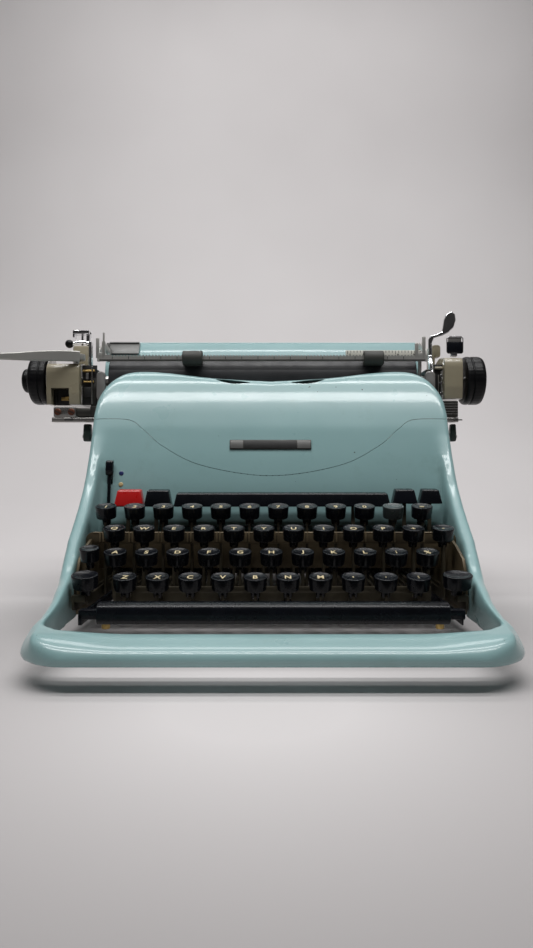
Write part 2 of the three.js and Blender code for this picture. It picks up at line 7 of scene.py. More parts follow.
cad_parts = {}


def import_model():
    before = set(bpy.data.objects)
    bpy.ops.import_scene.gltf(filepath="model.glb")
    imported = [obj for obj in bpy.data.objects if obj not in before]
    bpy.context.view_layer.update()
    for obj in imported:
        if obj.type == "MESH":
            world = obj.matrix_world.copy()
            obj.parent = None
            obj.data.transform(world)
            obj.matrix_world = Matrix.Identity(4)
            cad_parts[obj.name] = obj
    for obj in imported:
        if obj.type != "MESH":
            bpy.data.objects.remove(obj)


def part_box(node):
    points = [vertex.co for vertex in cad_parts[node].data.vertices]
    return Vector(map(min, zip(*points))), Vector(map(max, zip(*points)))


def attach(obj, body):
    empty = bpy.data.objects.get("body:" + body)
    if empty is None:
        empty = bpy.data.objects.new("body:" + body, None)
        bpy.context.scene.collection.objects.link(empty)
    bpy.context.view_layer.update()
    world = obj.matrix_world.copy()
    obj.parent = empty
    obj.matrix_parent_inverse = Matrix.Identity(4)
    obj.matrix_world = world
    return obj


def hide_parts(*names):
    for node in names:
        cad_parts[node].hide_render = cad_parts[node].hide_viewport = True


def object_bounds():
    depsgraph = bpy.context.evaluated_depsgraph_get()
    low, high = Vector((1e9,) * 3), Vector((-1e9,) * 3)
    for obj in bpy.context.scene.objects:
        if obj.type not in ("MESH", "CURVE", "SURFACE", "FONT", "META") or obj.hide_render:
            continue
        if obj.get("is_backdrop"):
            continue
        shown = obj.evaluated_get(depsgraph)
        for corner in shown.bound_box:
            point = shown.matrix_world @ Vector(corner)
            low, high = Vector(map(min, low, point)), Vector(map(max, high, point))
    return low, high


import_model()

CAD_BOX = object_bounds()

# ---------------------------------------------------------------- design frame
# All shapes below are drawn in millimetres in the designer's frame and moved into the row frame here:
# x = 0 at the keyboard's middle, y = 0 at the hood's front face, z = 0 on the table.
BODY_LOW, BODY_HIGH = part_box("body_shell")
BODY_HALF, BODY_X = 131.0, 3.0
RAIL_FRONT = -186.5
X0 = (BODY_LOW[0] + BODY_HIGH[0]) / 2 - BODY_X / 1000
Y0 = BODY_LOW[1] - RAIL_FRONT / 1000


def world(x, y, z):
    return Vector((x / 1000 + X0, y / 1000 + Y0, z / 1000))


PLACE = Matrix.Translation((X0, Y0, 0)) @ Matrix.Diagonal((0.001, 0.001, 0.001, 1))
scene = bpy.context.scene

# ---------------------------------------------------------------- camera
CAMERA_Y, CAMERA_Z = -508, 102
SENSOR, FOCAL_TO_HEIGHT = 36, 700 / 948
camera = bpy.data.objects.new("camera", bpy.data.cameras.new("camera"))
scene.collection.objects.link(camera)
camera.location = world(0, CAMERA_Y, CAMERA_Z)
camera.rotation_euler = (math.radians(90), 0, 0)
camera.data.sensor_width = SENSOR
camera.data.lens = SENSOR * FOCAL_TO_HEIGHT
camera.data.clip_start = 0.01
scene.camera = camera


# ---------------------------------------------------------------- geometry kit
class Shape:
    """Vertices and faces in millimetres, with a material index for each face."""

    def __init__(self, verts=(), faces=(), slot=0):
        self.verts = [Vector(v) for v in verts]
        self.faces = [tuple(f) for f in faces]
        self.slots = [slot] * len(self.faces)

    def __add__(self, other):
        return merged([self, other])

    def moved(self, matrix):
        out = Shape()
        out.verts = [matrix @ v for v in self.verts]
        out.faces = list(self.faces)
        out.slots = list(self.slots)
        if matrix.determinant() < 0:
            out.faces = [tuple(reversed(f)) for f in out.faces]
        return out

    def at(self, x, y, z):
        return self.moved(Matrix.Translation((x, y, z)))

    def turned(self, degrees, axis):
        return self.moved(Matrix.Rotation(math.radians(degrees), 4, axis))

    def scaled(self, x, y, z):
        return self.moved(Matrix.Diagonal((x, y, z, 1)))


def from_bmesh(bm, slot=0):
    bm.verts.ensure_lookup_table()
    out = Shape([v.co.copy() for v in bm.verts], [[v.index for v in f.verts] for f in bm.faces], slot)
    bm.free()
    return out


def rounded(shape, width, segments=2, angle=30, slot=None):
    """The shape with each edge sharper than angle bevelled."""
    bm = bmesh.new()
    verts = [bm.verts.new(v) for v in shape.verts]
    for f, s in zip(shape.faces, shape.slots):
        face = bm.faces.new([verts[i] for i in f])
        face.material_index = s
    bm.normal_update()
    edges = [e for e in bm.edges if len(e.link_faces) == 2 and e.calc_face_angle(0) > math.radians(angle)]
    bmesh.ops.bevel(bm, geom=edges, offset=width, segments=segments, profile=0.5, affect="EDGES",
                    clamp_overlap=True)
    bm.verts.index_update()
    out = Shape([v.co.copy() for v in bm.verts], [[v.index for v in f.verts] for f in bm.faces])
    out.slots = [f.material_index if slot is None else slot for f in bm.faces]
    bm.free()
    return out


def block(low, high, bevel=0.3, slot=0):
    x0, y0, z0 = low
    x1, y1, z1 = high
    v = [(x, y, z) for z in (z0, z1) for x, y in ((x0, y0), (x1, y0), (x1, y1), (x0, y1))]
    f = [(0, 3, 2, 1), (4, 5, 6, 7), (0, 1, 5, 4), (1, 2, 6, 5), (2, 3, 7, 6), (3, 0, 4, 7)]
    shape = Shape(v, f, slot)
    return rounded(shape, bevel, slot=slot) if bevel else shape


AXIS = {"x": lambda a, b, d: (d, a, b), "y": lambda a, b, d: (a, d, b), "z": lambda a, b, d: (a, b, d)}


def prism(points, axis, low, high, bevel=0.0, slot=0, segments=2):
    """A prism of a closed outline: along x the points are (y, z), along y (x, z), along z (x, y)."""
    area = sum(a[0] * b[1] - b[0] * a[1] for a, b in zip(points, points[1:] + points[:1]))
    pts = points if (area > 0) == (axis != "y") else points[::-1]
    n = len(pts)
    put = AXIS[axis]
    verts = [put(a, b, low) for a, b in pts] + [put(a, b, high) for a, b in pts]
    faces = [tuple(reversed(range(n))), tuple(range(n, 2 * n))]
    faces += [(i, (i + 1) % n, n + (i + 1) % n, n + i) for i in range(n)]
    shape = Shape(verts, faces, slot)
    return rounded(shape, bevel, segments, slot=slot) if bevel else shape


def lathe(profile, axis, at, sides=48, slot=0):
    """A turned solid. The profile holds (radius, distance along the axis)."""
    verts, rings = [], []
    for r, d in profile:
        if r < 1e-6:
            rings.append([len(verts)])
            verts.append((0, 0, d))
        else:
            rings.append(list(range(len(verts), len(verts) + sides)))
            verts += [(r * math.cos(2 * math.pi * i / sides), r * math.sin(2 * math.pi * i / sides), d)
                      for i in range(sides)]
    faces = []
    for a, b in zip(rings, rings[1:] + ([rings[0]] if len(rings[0]) > 1 and len(rings[-1]) > 1 else [])):
        for i in range(sides):
            j = (i + 1) % sides
            if len(a) == 1 and len(b) == 1:
                continue
            if len(a) == 1:
                faces.append((a[0], b[j], b[i]))
            elif len(b) == 1:
                faces.append((a[i], a[j], b[0]))
            else:
                faces.append((a[i], a[j], b[j], b[i]))
    shape = Shape(verts, faces, slot)
    turn = {"z": Matrix.Identity(4), "x": Matrix.Rotation(math.pi / 2, 4, "Y"),
            "y": Matrix.Rotation(-math.pi / 2, 4, "X")}[axis]
    return shape.moved(Matrix.Translation(at) @ turn)


def soft(profile, radius=0.4, steps=3):
    """The same turned profile with its corners rounded."""
    out = [profile[0]]
    for before, here, after in zip(profile, profile[1:], profile[2:]):
        a, h, b = Vector(before), Vector(here), Vector(after)
        la, lb = (a - h).length, (b - h).length
        r = min(radius, la * 0.45, lb * 0.45)
        if r < 0.02:
            out.append(here)
            continue
        p, q = h + (a - h) * (r / la), h + (b - h) * (r / lb)
        for i in range(steps + 1):
            t = i / steps
            out.append(tuple((1 - t) ** 2 * p + 2 * t * (1 - t) * h + t ** 2 * q))
    return out + [profile[-1]]


def rod(start, end, radius, sides=20, slot=0):
    a, b = Vector(start), Vector(end)
    length = (b - a).length
    edge = min(0.25, radius * 0.5, length * 0.3)
    profile = [(0, 0), (radius - edge, 0), (radius, edge), (radius, length - edge),
               (radius - edge, length), (0, length)]
    body = lathe(profile, "z", (0, 0, 0), sides, slot)
    turn = Vector((0, 0, 1)).rotation_difference((b - a).normalized()).to_matrix().to_4x4()
    return body.moved(Matrix.Translation(a) @ turn)


def spline(points, count):
    """A smooth curve through the points, as count + 1 samples."""
    p = [Vector(q) for q in points]
    out = []
    for k in range(count + 1):
        t = k / count * (len(p) - 1)
        i = min(int(t), len(p) - 2)
        w = t - i
        p0, p1, p2, p3 = p[max(i - 1, 0)], p[i], p[i + 1], p[min(i + 2, len(p) - 1)]
        a, b = (p2 - p0) / 2, (p3 - p1) / 2
        cubic, square = 2 * p1 - 2 * p2 + a + b, 3 * p2 - 3 * p1 - 2 * a - b
        out.append(tuple(cubic * w ** 3 + square * w ** 2 + a * w + p1))
    return out


def tube(path, radius, sides=14, slot=0):
    """A round bar along 3D points, with closed ends."""
    p = [Vector(q) for q in path]
    verts, faces = [], []
    normal = None
    for i, q in enumerate(p):
        tangent = (p[min(i + 1, len(p) - 1)] - p[max(i - 1, 0)]).normalized()
        if normal is None:
            normal = tangent.orthogonal().normalized()
        normal = (normal - tangent * normal.dot(tangent)).normalized()
        side = tangent.cross(normal)
        verts += [q + normal * (radius * math.cos(2 * math.pi * k / sides))
                  + side * (radius * math.sin(2 * math.pi * k / sides))
                  for k in range(sides)]
    for i in range(len(p) - 1):
        for k in range(sides):
            j = (k + 1) % sides
            faces.append((i * sides + k, i * sides + j, (i + 1) * sides + j, (i + 1) * sides + k))
    faces.append(tuple(reversed(range(sides))))
    faces.append(tuple(range(len(verts) - sides, len(verts))))
    return Shape(verts, faces, slot)


def merged(shapes):
    out = Shape()
    for s in shapes:
        n = len(out.verts)
        out.verts += s.verts
        out.faces += [tuple(i + n for i in f) for f in s.faces]
        out.slots += s.slots
    return out


def rounded_rect(a0, b0, a1, b1, radius, steps=6):
    out = []
    for a, b, quarter in ((a1 - radius, b1 - radius, 0), (a0 + radius, b1 - radius, 1),
                          (a0 + radius, b0 + radius, 2), (a1 - radius, b0 + radius, 3)):
        for i in range(steps + 1):
            t = (quarter + i / steps) * math.pi / 2
            out.append((a + radius * math.cos(t), b + radius * math.sin(t)))
    return out


PIECE_SHARP, CASTING_SHARP = 32, 38


def solid_mesh(name, verts, faces):
    """A mesh with all its faces turned outwards."""
    mesh = bpy.data.meshes.new(name)
    mesh.from_pydata(verts, [], faces)
    bm = bmesh.new()
    bm.from_mesh(mesh)
    bmesh.ops.recalc_face_normals(bm, faces=bm.faces)
    bm.to_mesh(mesh)
    bm.free()
    return mesh


def shaded(mesh, sharp):
    mesh.polygons.foreach_set("use_smooth", [True] * len(mesh.polygons))
    mesh.set_sharp_from_angle(angle=math.radians(sharp))


def piece(name, shape, materials, body, nodes=()):
    """Makes the shape into a shown piece that rides on a body and stands for CAD nodes."""
    mesh = solid_mesh(name, [PLACE @ v for v in shape.verts], shape.faces)
    mesh.polygons.foreach_set("material_index", shape.slots)
    shaded(mesh, PIECE_SHARP)
    mesh.update()
    return settle(bpy.data.objects.new(name, mesh), materials, body, nodes)


def settle(obj, materials, body, nodes=()):
    if not obj.users_collection:
        scene.collection.objects.link(obj)
    slots = [min(face.material_index, len(materials) - 1) for face in obj.data.polygons]
    obj.data.materials.clear()
    for m in materials:
        obj.data.materials.append(m)
    obj.data.polygons.foreach_set("material_index", slots)
    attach(obj, body)
    if nodes:
        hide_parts(*nodes)
    return obj


# ---------------------------------------------------------------- materials
BUMP_DISTANCE = 0.0004


class Graph:
    """The shader nodes of one material, or of the world."""

    def __init__(self, tree):
        self.nodes, self.links = tree.nodes, tree.links

    def new(self, kind):
        return self.nodes.new("ShaderNode" + kind)

    def link(self, value, socket):
        self.links.new(value, socket)

    def noise(self, scale, detail=3.0, stretch=(1, 1, 1), rough=0.55):
        coords, mapping, texture = self.new("TexCoord"), self.new("Mapping"), self.new("TexNoise")
        mapping.inputs["Scale"].default_value = stretch
        for socket, number in (("Scale", scale), ("Detail", detail), ("Roughness", rough)):
            texture.inputs[socket].default_value = number
        self.link(coords.outputs["Object"], mapping.inputs["Vector"])
        self.link(mapping.outputs["Vector"], texture.inputs["Vector"])
        return texture.outputs["Fac"]

    def remap(self, value, low, high, to_low, to_high):
        node = self.new("MapRange")
        for socket, number in (("From Min", low), ("From Max", high),
                               ("To Min", to_low), ("To Max", to_high)):
            node.inputs[socket].default_value = number
        self.link(value, node.inputs["Value"])
        return node.outputs["Result"]

    def mix(self, factor, a, b):
        node = self.new("Mix")
        node.data_type = "RGBA"
        self.link(factor, node.inputs[0])
        for socket, value in ((node.inputs[6], a), (node.inputs[7], b)):
            if isinstance(value, tuple):
                socket.default_value = (*value, 1)
            else:
                self.link(value, socket)
        return node.outputs[2]

    def bump(self, shader, height, strength):
        node = self.new("Bump")
        node.inputs["Strength"].default_value = strength
        node.inputs["Distance"].default_value = BUMP_DISTANCE
        self.link(height, node.inputs["Height"])
        self.link(node.outputs["Normal"], shader.inputs["Normal"])


def principled(name, colour, roughness, metallic=0.0, coat=0.0, coat_roughness=0.1, specular=0.5):
    m = bpy.data.materials.new(name)
    m.use_nodes = True
    shader = m.node_tree.nodes["Principled BSDF"]
    shader.inputs["Base Color"].default_value = (*colour, 1)
    for socket, number in (("Roughness", roughness), ("Metallic", metallic), ("Coat Weight", coat),
                           ("Coat Roughness", coat_roughness), ("Specular IOR Level", specular)):
        shader.inputs[socket].default_value = number
    m.diffuse_color = (*colour, 1)
    return m, Graph(m.node_tree), shader


def surface(name, colour, roughness, metallic=0.0, coat=0.0, tint=0.85, scale=60.0, wobble=0.06, grain=700.0,
            depth=0.05, stretch=(1, 1, 1), specular=0.5):
    """A plain finish with slow colour drift, uneven gloss and a fine grain."""
    m, graph, shader = principled(name, colour, roughness, metallic, coat, specular=specular)
    drift = graph.remap(graph.noise(scale, 4), 0.35, 0.65, 0, 1)
    darker = tuple(c * tint for c in colour)
    graph.link(graph.mix(drift, darker, colour), shader.inputs["Base Color"])
    smoothest, roughest = max(roughness - wobble, 0.02), roughness + wobble
    gloss = graph.remap(graph.noise(scale * 2.3, 5), 0.3, 0.7, smoothest, roughest)
    graph.link(gloss, shader.inputs["Roughness"])
    graph.bump(shader, graph.noise(grain, 2, stretch), depth)
    return m


def enamel(name, colour, chips=1.0):
    """Satin enamel: faint orange peel, slow colour drift, small chips, and worn paint along sharp edges."""
    m, graph, shader = principled(name, colour, 0.3, coat=0.5, coat_roughness=0.08)
    drift = graph.remap(graph.noise(9, 3), 0.3, 0.7, 0, 1)
    base = graph.mix(drift, tuple(c * 0.93 for c in colour), tuple(min(c * 1.05, 1) for c in colour))
    grime = graph.remap(graph.noise(34, 6, rough=0.7), 0.56, 0.8, 0, 0.3)
    base = graph.mix(grime, base, (colour[0] * 0.6, colour[1] * 0.58, colour[2] * 0.52))
    spots = graph.remap(graph.noise(420, 2, rough=0.3), 0.80, 0.82, 0, chips)
    base = graph.mix(spots, base, (0.045, 0.05, 0.045))
    edge = graph.remap(graph.new("NewGeometry").outputs["Pointiness"], 0.54, 0.6, 0, 0.35)
    base = graph.mix(edge, base, tuple(min(c * 1.35 + 0.04, 1) for c in colour))
    graph.link(base, shader.inputs["Base Color"])
    graph.link(graph.remap(graph.noise(26, 5), 0.3, 0.7, 0.25, 0.38), shader.inputs["Roughness"])
    graph.bump(shader, graph.noise(520, 2), 0.035)
    return m


PAINT = enamel("enamel_teal", (0.262, 0.425, 0.43))
PAINT_TABLE = enamel("enamel_teal_table", (0.25, 0.41, 0.42), 0.3)
BEIGE = enamel("enamel_beige", (0.30, 0.265, 0.185), 0.6)
BLACK = surface("bakelite_black", (0.0045, 0.0055, 0.0085), 0.26, coat=0.1, tint=0.6, depth=0.012,
                wobble=0.04, specular=0.25)
KNOB = surface("bakelite_knob", (0.004, 0.004, 0.005), 0.36, coat=0.05, tint=0.6, depth=0.03, specular=0.2)
GREY_KEY = surface("bakelite_grey", (0.035, 0.045, 0.045), 0.3, coat=0.25)
RED = surface("key_red", (0.52, 0.008, 0.008), 0.3, coat=0.3, tint=0.9, depth=0.02)
LEGEND = surface("legend_gold", (0.78, 0.66, 0.40), 0.45, tint=0.8, scale=400)
BRONZE = surface("lacquer_bronze", (0.15, 0.115, 0.068), 0.42, metallic=0.45, tint=0.5, scale=45,
                 wobble=0.12)
LUG = surface("lug_bronze", (0.27, 0.21, 0.13), 0.38, metallic=0.5, tint=0.6)
LEVER = surface("lever_dark", (0.085, 0.072, 0.048), 0.42, metallic=0.5, tint=0.5, scale=70, wobble=0.12)
STEEL = surface("steel_brushed", (0.50, 0.49, 0.47), 0.33, metallic=0.95, tint=0.75, scale=50, wobble=0.1,
                grain=900, depth=0.08, stretch=(0.04, 1, 1))
DULL = surface("steel_dull", (0.075, 0.073, 0.066), 0.45, metallic=0.7, tint=0.6, scale=40, wobble=0.12)
FINGER = surface("finger_grey", (0.30, 0.29, 0.28), 0.42, metallic=0.55, tint=0.75)
CHROME = surface("chrome", (0.78, 0.78, 0.79), 0.11, metallic=1.0, tint=0.86, scale=90, wobble=0.06,
                 depth=0.02)
SATIN = surface("nickel_satin", (0.50, 0.49, 0.46), 0.34, metallic=0.6, tint=0.9, scale=16, wobble=0.03,
                depth=0.012)
BRASS = surface("brass", (0.55, 0.38, 0.14), 0.35, metallic=0.9, tint=0.6)
SCREW = surface("screw_brown", (0.16, 0.055, 0.03), 0.4, metallic=0.4, tint=0.6)
RUBBER = surface("platen_rubber", (0.030, 0.030, 0.033), 0.5, tint=0.7, wobble=0.12, grain=1500, depth=0.08)
ROLLER = surface("roller_rubber", (0.042, 0.042, 0.036), 0.6, tint=0.7, grain=1200, depth=0.1)
FOOT = surface("foot_rubber", (0.015, 0.015, 0.016), 0.75, tint=0.6, depth=0.2)
CREAM = surface("scale_cream", (0.80, 0.78, 0.70), 0.4, tint=0.92)
# Black for printed marks, also used as painted shade: the dark inside of the left end cover's opening and the
# screws' driver slots.
INK_AND_SHADE = surface("marking_and_shade_black", (0.012, 0.012, 0.012), 0.5)
DARK_GREEN = surface("dark_green", (0.018, 0.03, 0.026), 0.35, coat=0.2)
PLAQUE = surface("plaque_grey", (0.16, 0.16, 0.155), 0.42, metallic=0.3)
BLUE_DOT = surface("dot_blue", (0.02, 0.03, 0.12), 0.3)
GOLD_DOT = surface("dot_cream", (0.55, 0.42, 0.20), 0.4)
RIBBON = surface("ribbon_fabric", (0.008, 0.008, 0.009), 0.85, grain=2500, depth=0.3)

# ---------------------------------------------------------------- stage and light
FLOOR_FRONT, WALL_Y, SWEEP_R, WALL_TOP, STAGE_HALF, MIDDLE_X = -1.9, 1.0, 0.9, 3.2, 3.2, 0.04


def backdrop():
    """A seamless paper sweep: floor, a wide curve and a wall, with painted shade and a painted pool of light
    on the floor.
    """
    line = [(FLOOR_FRONT, 0.0), (WALL_Y - SWEEP_R, 0.0)]
    line += [(WALL_Y - SWEEP_R + SWEEP_R * math.sin(t), SWEEP_R - SWEEP_R * math.cos(t))
             for t in (math.pi / 2 * i / 24 for i in range(1, 25))]
    line.append((WALL_Y, WALL_TOP))
    verts = [(x, y, z) for y, z in line for x in (-STAGE_HALF, STAGE_HALF)]
    faces = [(2 * i, 2 * i + 1, 2 * i + 3, 2 * i + 2) for i in range(len(line) - 1)]
    mesh = bpy.data.meshes.new("backdrop")
    mesh.from_pydata(verts, [], faces)
    mesh.polygons.foreach_set("use_smooth", [True] * len(faces))
    obj = bpy.data.objects.new("backdrop", mesh)
    scene.collection.objects.link(obj)
    m, graph, shader = principled("paper", (0.52, 0.495, 0.495), 0.7, specular=0.2)
    tone = graph.remap(graph.noise(1.6, 3), 0.3, 0.7, 0, 1)
    paper = graph.mix(tone, (0.58, 0.555, 0.555), (0.66, 0.635, 0.635))
    # Painted shade: the floor turns darker towards the front and the sides, around a painted pool of light
    # just before the machine.
    painted_floor_shade = (0.27, 0.255, 0.255)
    distance, split, painted_shade_mask = graph.new("VectorMath"), graph.new("SeparateXYZ"), graph.new("Math")
    distance.operation, painted_shade_mask.operation = "DISTANCE", "MULTIPLY"
    coords = graph.new("TexCoord").outputs["Object"]
    graph.link(coords, distance.inputs[0])
    graph.link(coords, split.inputs["Vector"])
    distance.inputs[1].default_value = (MIDDLE_X, -0.2, 0)
    graph.link(graph.remap(distance.outputs["Value"], 0.04, 0.22, 0, 1), painted_shade_mask.inputs[0])
    graph.link(graph.remap(split.outputs["Y"], 0.1, -0.16, 0, 1), painted_shade_mask.inputs[1])
    graph.link(graph.mix(painted_shade_mask.outputs["Value"], paper, painted_floor_shade), shader.inputs["Base Color"])
    mesh.materials.append(m)
    obj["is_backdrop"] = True


def area(name, at, look, size, power):
    data = bpy.data.lights.new(name, "AREA")
    data.shape = "RECTANGLE"
    data.size, data.size_y = size
    data.energy = power
    lamp = bpy.data.objects.new(name, data)
    lamp.location = at
    lamp.rotation_euler = (Vector(look) - Vector(at)).to_track_quat("-Z", "Y").to_euler()
    scene.collection.objects.link(lamp)


backdrop()
CROWN, WALL_FOOT = (MIDDLE_X, 0.0, 0.12), (MIDDLE_X, 0.75, 0.2)
area("strip_front", (MIDDLE_X, -0.42, 1.0), CROWN, (1.3, 0.09), 6.0)
area("strip_top", (MIDDLE_X, -0.12, 1.06), CROWN, (1.3, 0.08), 5)
area("strip_rear", (MIDDLE_X, 0.5, 1.3), WALL_FOOT, (1.2, 0.3), 5.6)
scene.world = bpy.data.worlds.new("studio")
scene.world.use_nodes = True
sky = Graph(scene.world.node_tree)
background = sky.nodes["Background"]
background.inputs["Color"].default_value = (0.95, 0.93, 0.93, 1)
SKY_FRONT, SKY_REAR = 0.035, 0.30
direction = sky.new("SeparateXYZ")
sky.link(sky.new("TexCoord").outputs["Generated"], direction.inputs["Vector"])
strength = sky.remap(direction.outputs["Y"], -0.75, 0.35, SKY_FRONT, SKY_REAR)
sky.link(strength, background.inputs["Strength"])
scene.view_settings.view_transform = "Standard"

# ---------------------------------------------------------------- cast body and ribbon cover
BODY_FRONT, BODY_BACK, BODY_BOTTOM, DECK_TOP, HOOD_BACK, WALL = -186.0, 184.0, 12.0, 140.0, 42.0, 3.0
FRONT_HALF, WELL_HALF, WELL_FRONT = 126.5, 122.0, -163.0
FACE_LINE = [(-14, 40), (-12, 66), (-9, 90), (-4, 112), (3, 134), (8, 150)]
FINE_VOXEL = 1.35
VOXEL = FINE_VOXEL


def temp(shape):
    obj = bpy.data.objects.new("temp", solid_mesh("temp", shape.verts, shape.faces))
    scene.collection.objects.link(obj)
    return obj


def baked(obj):
    graph = bpy.context.evaluated_depsgraph_get()
    mesh = bpy.data.meshes.new_from_object(obj.evaluated_get(graph))
    obj.modifiers.clear()
    obj.data = mesh
    return obj


def combine(obj, operation, tool, solver="EXACT"):
    modifier = obj.modifiers.new("cut", "BOOLEAN")
    modifier.operation, modifier.object, modifier.solver = operation, tool, solver
    baked(obj)
    bpy.data.objects.remove(tool)


def cut(obj, operation, shape, solver="EXACT"):
    combine(obj, operation, temp(shape), solver)


def copied(obj, name):
    out = bpy.data.objects.new(name, obj.data.copy())
    scene.collection.objects.link(out)
    return out


SWEEP = spline([(-166, 26.5), (-140, 31), (-112, 37), (-84, 43.5), (-58, 62), (-38, 78), (-20, 96),
                (-8, 114), (2, 132), (11.5, 150), (21, 164.5), (30, 172.5), (HOOD_BACK, 176)], 120)


def side_profile(inset):
    sweep = [(y + inset, z - inset + 7 * max(0, (z - 130) / 42)) for y, z in SWEEP]
    rear = [(HOOD_BACK + (1 if inset else 0), DECK_TOP - inset), (150, DECK_TOP - inset), (172, 130 - inset),
            (BODY_BACK - inset, 104), (BODY_BACK - inset, BODY_BOTTOM - inset)]
    nose = [(BODY_FRONT, BODY_BOTTOM), (BODY_FRONT - 0.5, 17), (-183, 22), (-176, 25.5)]
    front = [(-166 + inset, BODY_BOTTOM - inset)] if inset else nose
    return front + sweep + rear


def hood_section(inset):
    right = spline([(0, 172.6), (44, 175.4), (78, 180), (98, 181.6), (111, 179.6), (120.5, 173), (126, 165.5),
                    (129.5, 157.5), (BODY_HALF, 147), (BODY_HALF, 128)], 70)
    right = [(x * (1 - inset / BODY_HALF), z - inset) for x, z in reversed(right)]
    left = [(-x, z) for x, z in reversed(right[:-1])]
    return [(-BODY_HALF + inset, 0), (BODY_HALF - inset, 0)] + right + left


def plan(half, front_half, front, back, radius):
    corners = rounded_rect(-half, front, half, back, radius, 12)
    line = corners[:26] + [(-half, -60)] + corners[26:] + [(half, -60)]
    if corners[0][1] < corners[-1][1]:
        line = corners
    taper = [min(max((-60 - y) / 93, 0.0), 1.0) for _, y in line]
    return [(x * (half + (front_half - half) * t) / half, y) for (x, y), t in zip(line, taper)]


def body_plan(inset):
    return plan(BODY_HALF - inset, FRONT_HALF - inset, BODY_FRONT - 1 + inset, BODY_BACK + 0.5 - inset,
                34 - inset)


def casting():
    outer = temp(prism(side_profile(0), "x", -BODY_HALF - 2, BODY_HALF + 2))
    cut(outer, "INTERSECT", prism(hood_section(0), "y", BODY_FRONT - 5, BODY_BACK + 5))
    cut(outer, "INTERSECT", prism(body_plan(0), "z", 0, 200))
    room = temp(prism(side_profile(WALL), "x", -BODY_HALF - 2, BODY_HALF + 2))
    cut(room, "INTERSECT", prism(hood_section(WALL), "y", -30, BODY_BACK + 5))
    cut(room, "INTERSECT", prism(body_plan(WALL), "z", -5, 200))
    back = spline(FACE_LINE, 24)
    front_part = [(-60, -10), (-60, 160)] + [(y + WALL, z) for y, z in reversed(back)] + [(-14 + WALL, -10)]
    cut(room, "DIFFERENCE", prism(front_part, "x", -WELL_HALF - WALL, WELL_HALF + WALL))
    cut(room, "INTERSECT", block((-BODY_HALF, -11 + WALL, -10), (BODY_HALF, BODY_BACK, 200), 0))
    well_side = [(WELL_FRONT, -5), (WELL_FRONT, 150)] + back[::-1] + [(-14, -5)]
    well = temp(prism(well_side, "x", -WELL_HALF, WELL_HALF))
    well_plan = plan(WELL_HALF, WELL_HALF - BODY_HALF + FRONT_HALF, WELL_FRONT, 60, 16)
    cut(well, "INTERSECT", prism(well_plan, "z", -10, 200))
    for tool in (well, room):
        combine(outer, "DIFFERENCE", tool)
    cut(outer, "DIFFERENCE", block((-105, HOOD_BACK - 2, DECK_TOP - 10), (105, 90, 200), 0))
    cut(outer, "DIFFERENCE", block((-119, -24, -5), (119, -5, 64), 0))
    return outer


def points_of(mesh):
    co = np.empty(len(mesh.vertices) * 3)
    mesh.vertices.foreach_get("co", co)
    return co.reshape(-1, 3)


def set_points(mesh, co):
    mesh.vertices.foreach_set("co", co.ravel())
    mesh.update()


def relaxed(obj, steps, weight=None):
    """Laplacian smoothing of the mesh, by a weight for each vertex."""
    mesh = obj.data
    co = points_of(mesh)
    n = len(co)
    edges = np.empty(len(mesh.edges) * 2, dtype=int)
    mesh.edges.foreach_get("vertices", edges)
    a, b = edges[::2], edges[1::2]
    degree = np.bincount(np.concatenate([a, b]), minlength=n).astype(float)
    w = np.full(n, 0.6) if weight is None else weight(co) * 0.6
    for _ in range(steps):
        total = np.empty_like(co)
        for k in range(3):
            total[:, k] = np.bincount(a, co[b, k], n) + np.bincount(b, co[a, k], n)
        co += (total / degree[:, None] - co) * w[:, None]
    set_points(mesh, co)


def reshape(obj, rule):
    set_points(obj.data, rule(points_of(obj.data)))


def ramp(value, low, high):
    t = np.clip((value - low) / (high - low), 0, 1)
    return t * t * (3 - 2 * t)


def lean(co):
    """The side walls lean in towards their top edge at the front, and the hand rail dips between them."""
    x, y, z = co.T.copy()
    k = ramp(-y, 60, 140) * ramp(z, 12, 30) * ramp(np.abs(x), 112, 124)
    co[:, 0] = x * (1 - 0.05 * k)
    co[:, 2] = z - 2.4 * ramp(-y, 150, 168) * ramp(z, 17, 26) * (1 - ramp(np.abs(x), 70, 118))
    return co


def softness(co):
    """How much each point is smoothed: more towards the front, but little at the foot and on the rail."""
    _, y, z = co.T
    off_foot = 0.15 + 0.85 * ramp(z, 13, 21)
    off_rail = 1 - 0.7 * ramp(-y, 146, 156)
    return np.maximum(ramp(-y, 60, 110), 0.25) * off_foot * off_rail


def smooth_casting():
    obj = casting()
    modifier = obj.modifiers.new("remesh", "REMESH")
    modifier.mode, modifier.voxel_size, modifier.adaptivity = "VOXEL", VOXEL, 0
    baked(obj)
    relaxed(obj, int(10 * (FINE_VOXEL / VOXEL) ** 2) + 1)
    relaxed(obj, int(26 * (FINE_VOXEL / VOXEL) ** 2) + 1, softness)
    reshape(obj, lean)
    reshape(obj, lambda co: co + np.array([BODY_X, 0, 0]))
    return obj


def seam(offset):
    line = spline([(-140, 142), (-106, 142), (-93, 134.5), (-78, 122), (-49, 108), (0, 100.7), (49, 108),
                   (78, 122), (93, 134.5), (106, 142), (140, 142)], 160)
    outline = [(x + BODY_X, z + offset) for x, z in line] + [(147, 230), (-142, 230)]
    return prism(outline, "y", -60, HOOD_BACK + 3)


def finished(obj, name, materials, body, node):
    obj.data.transform(PLACE)
    shaded(obj.data, CASTING_SHARP)
    obj.name = obj.data.name = name
    return settle(obj, materials, body, (node,))


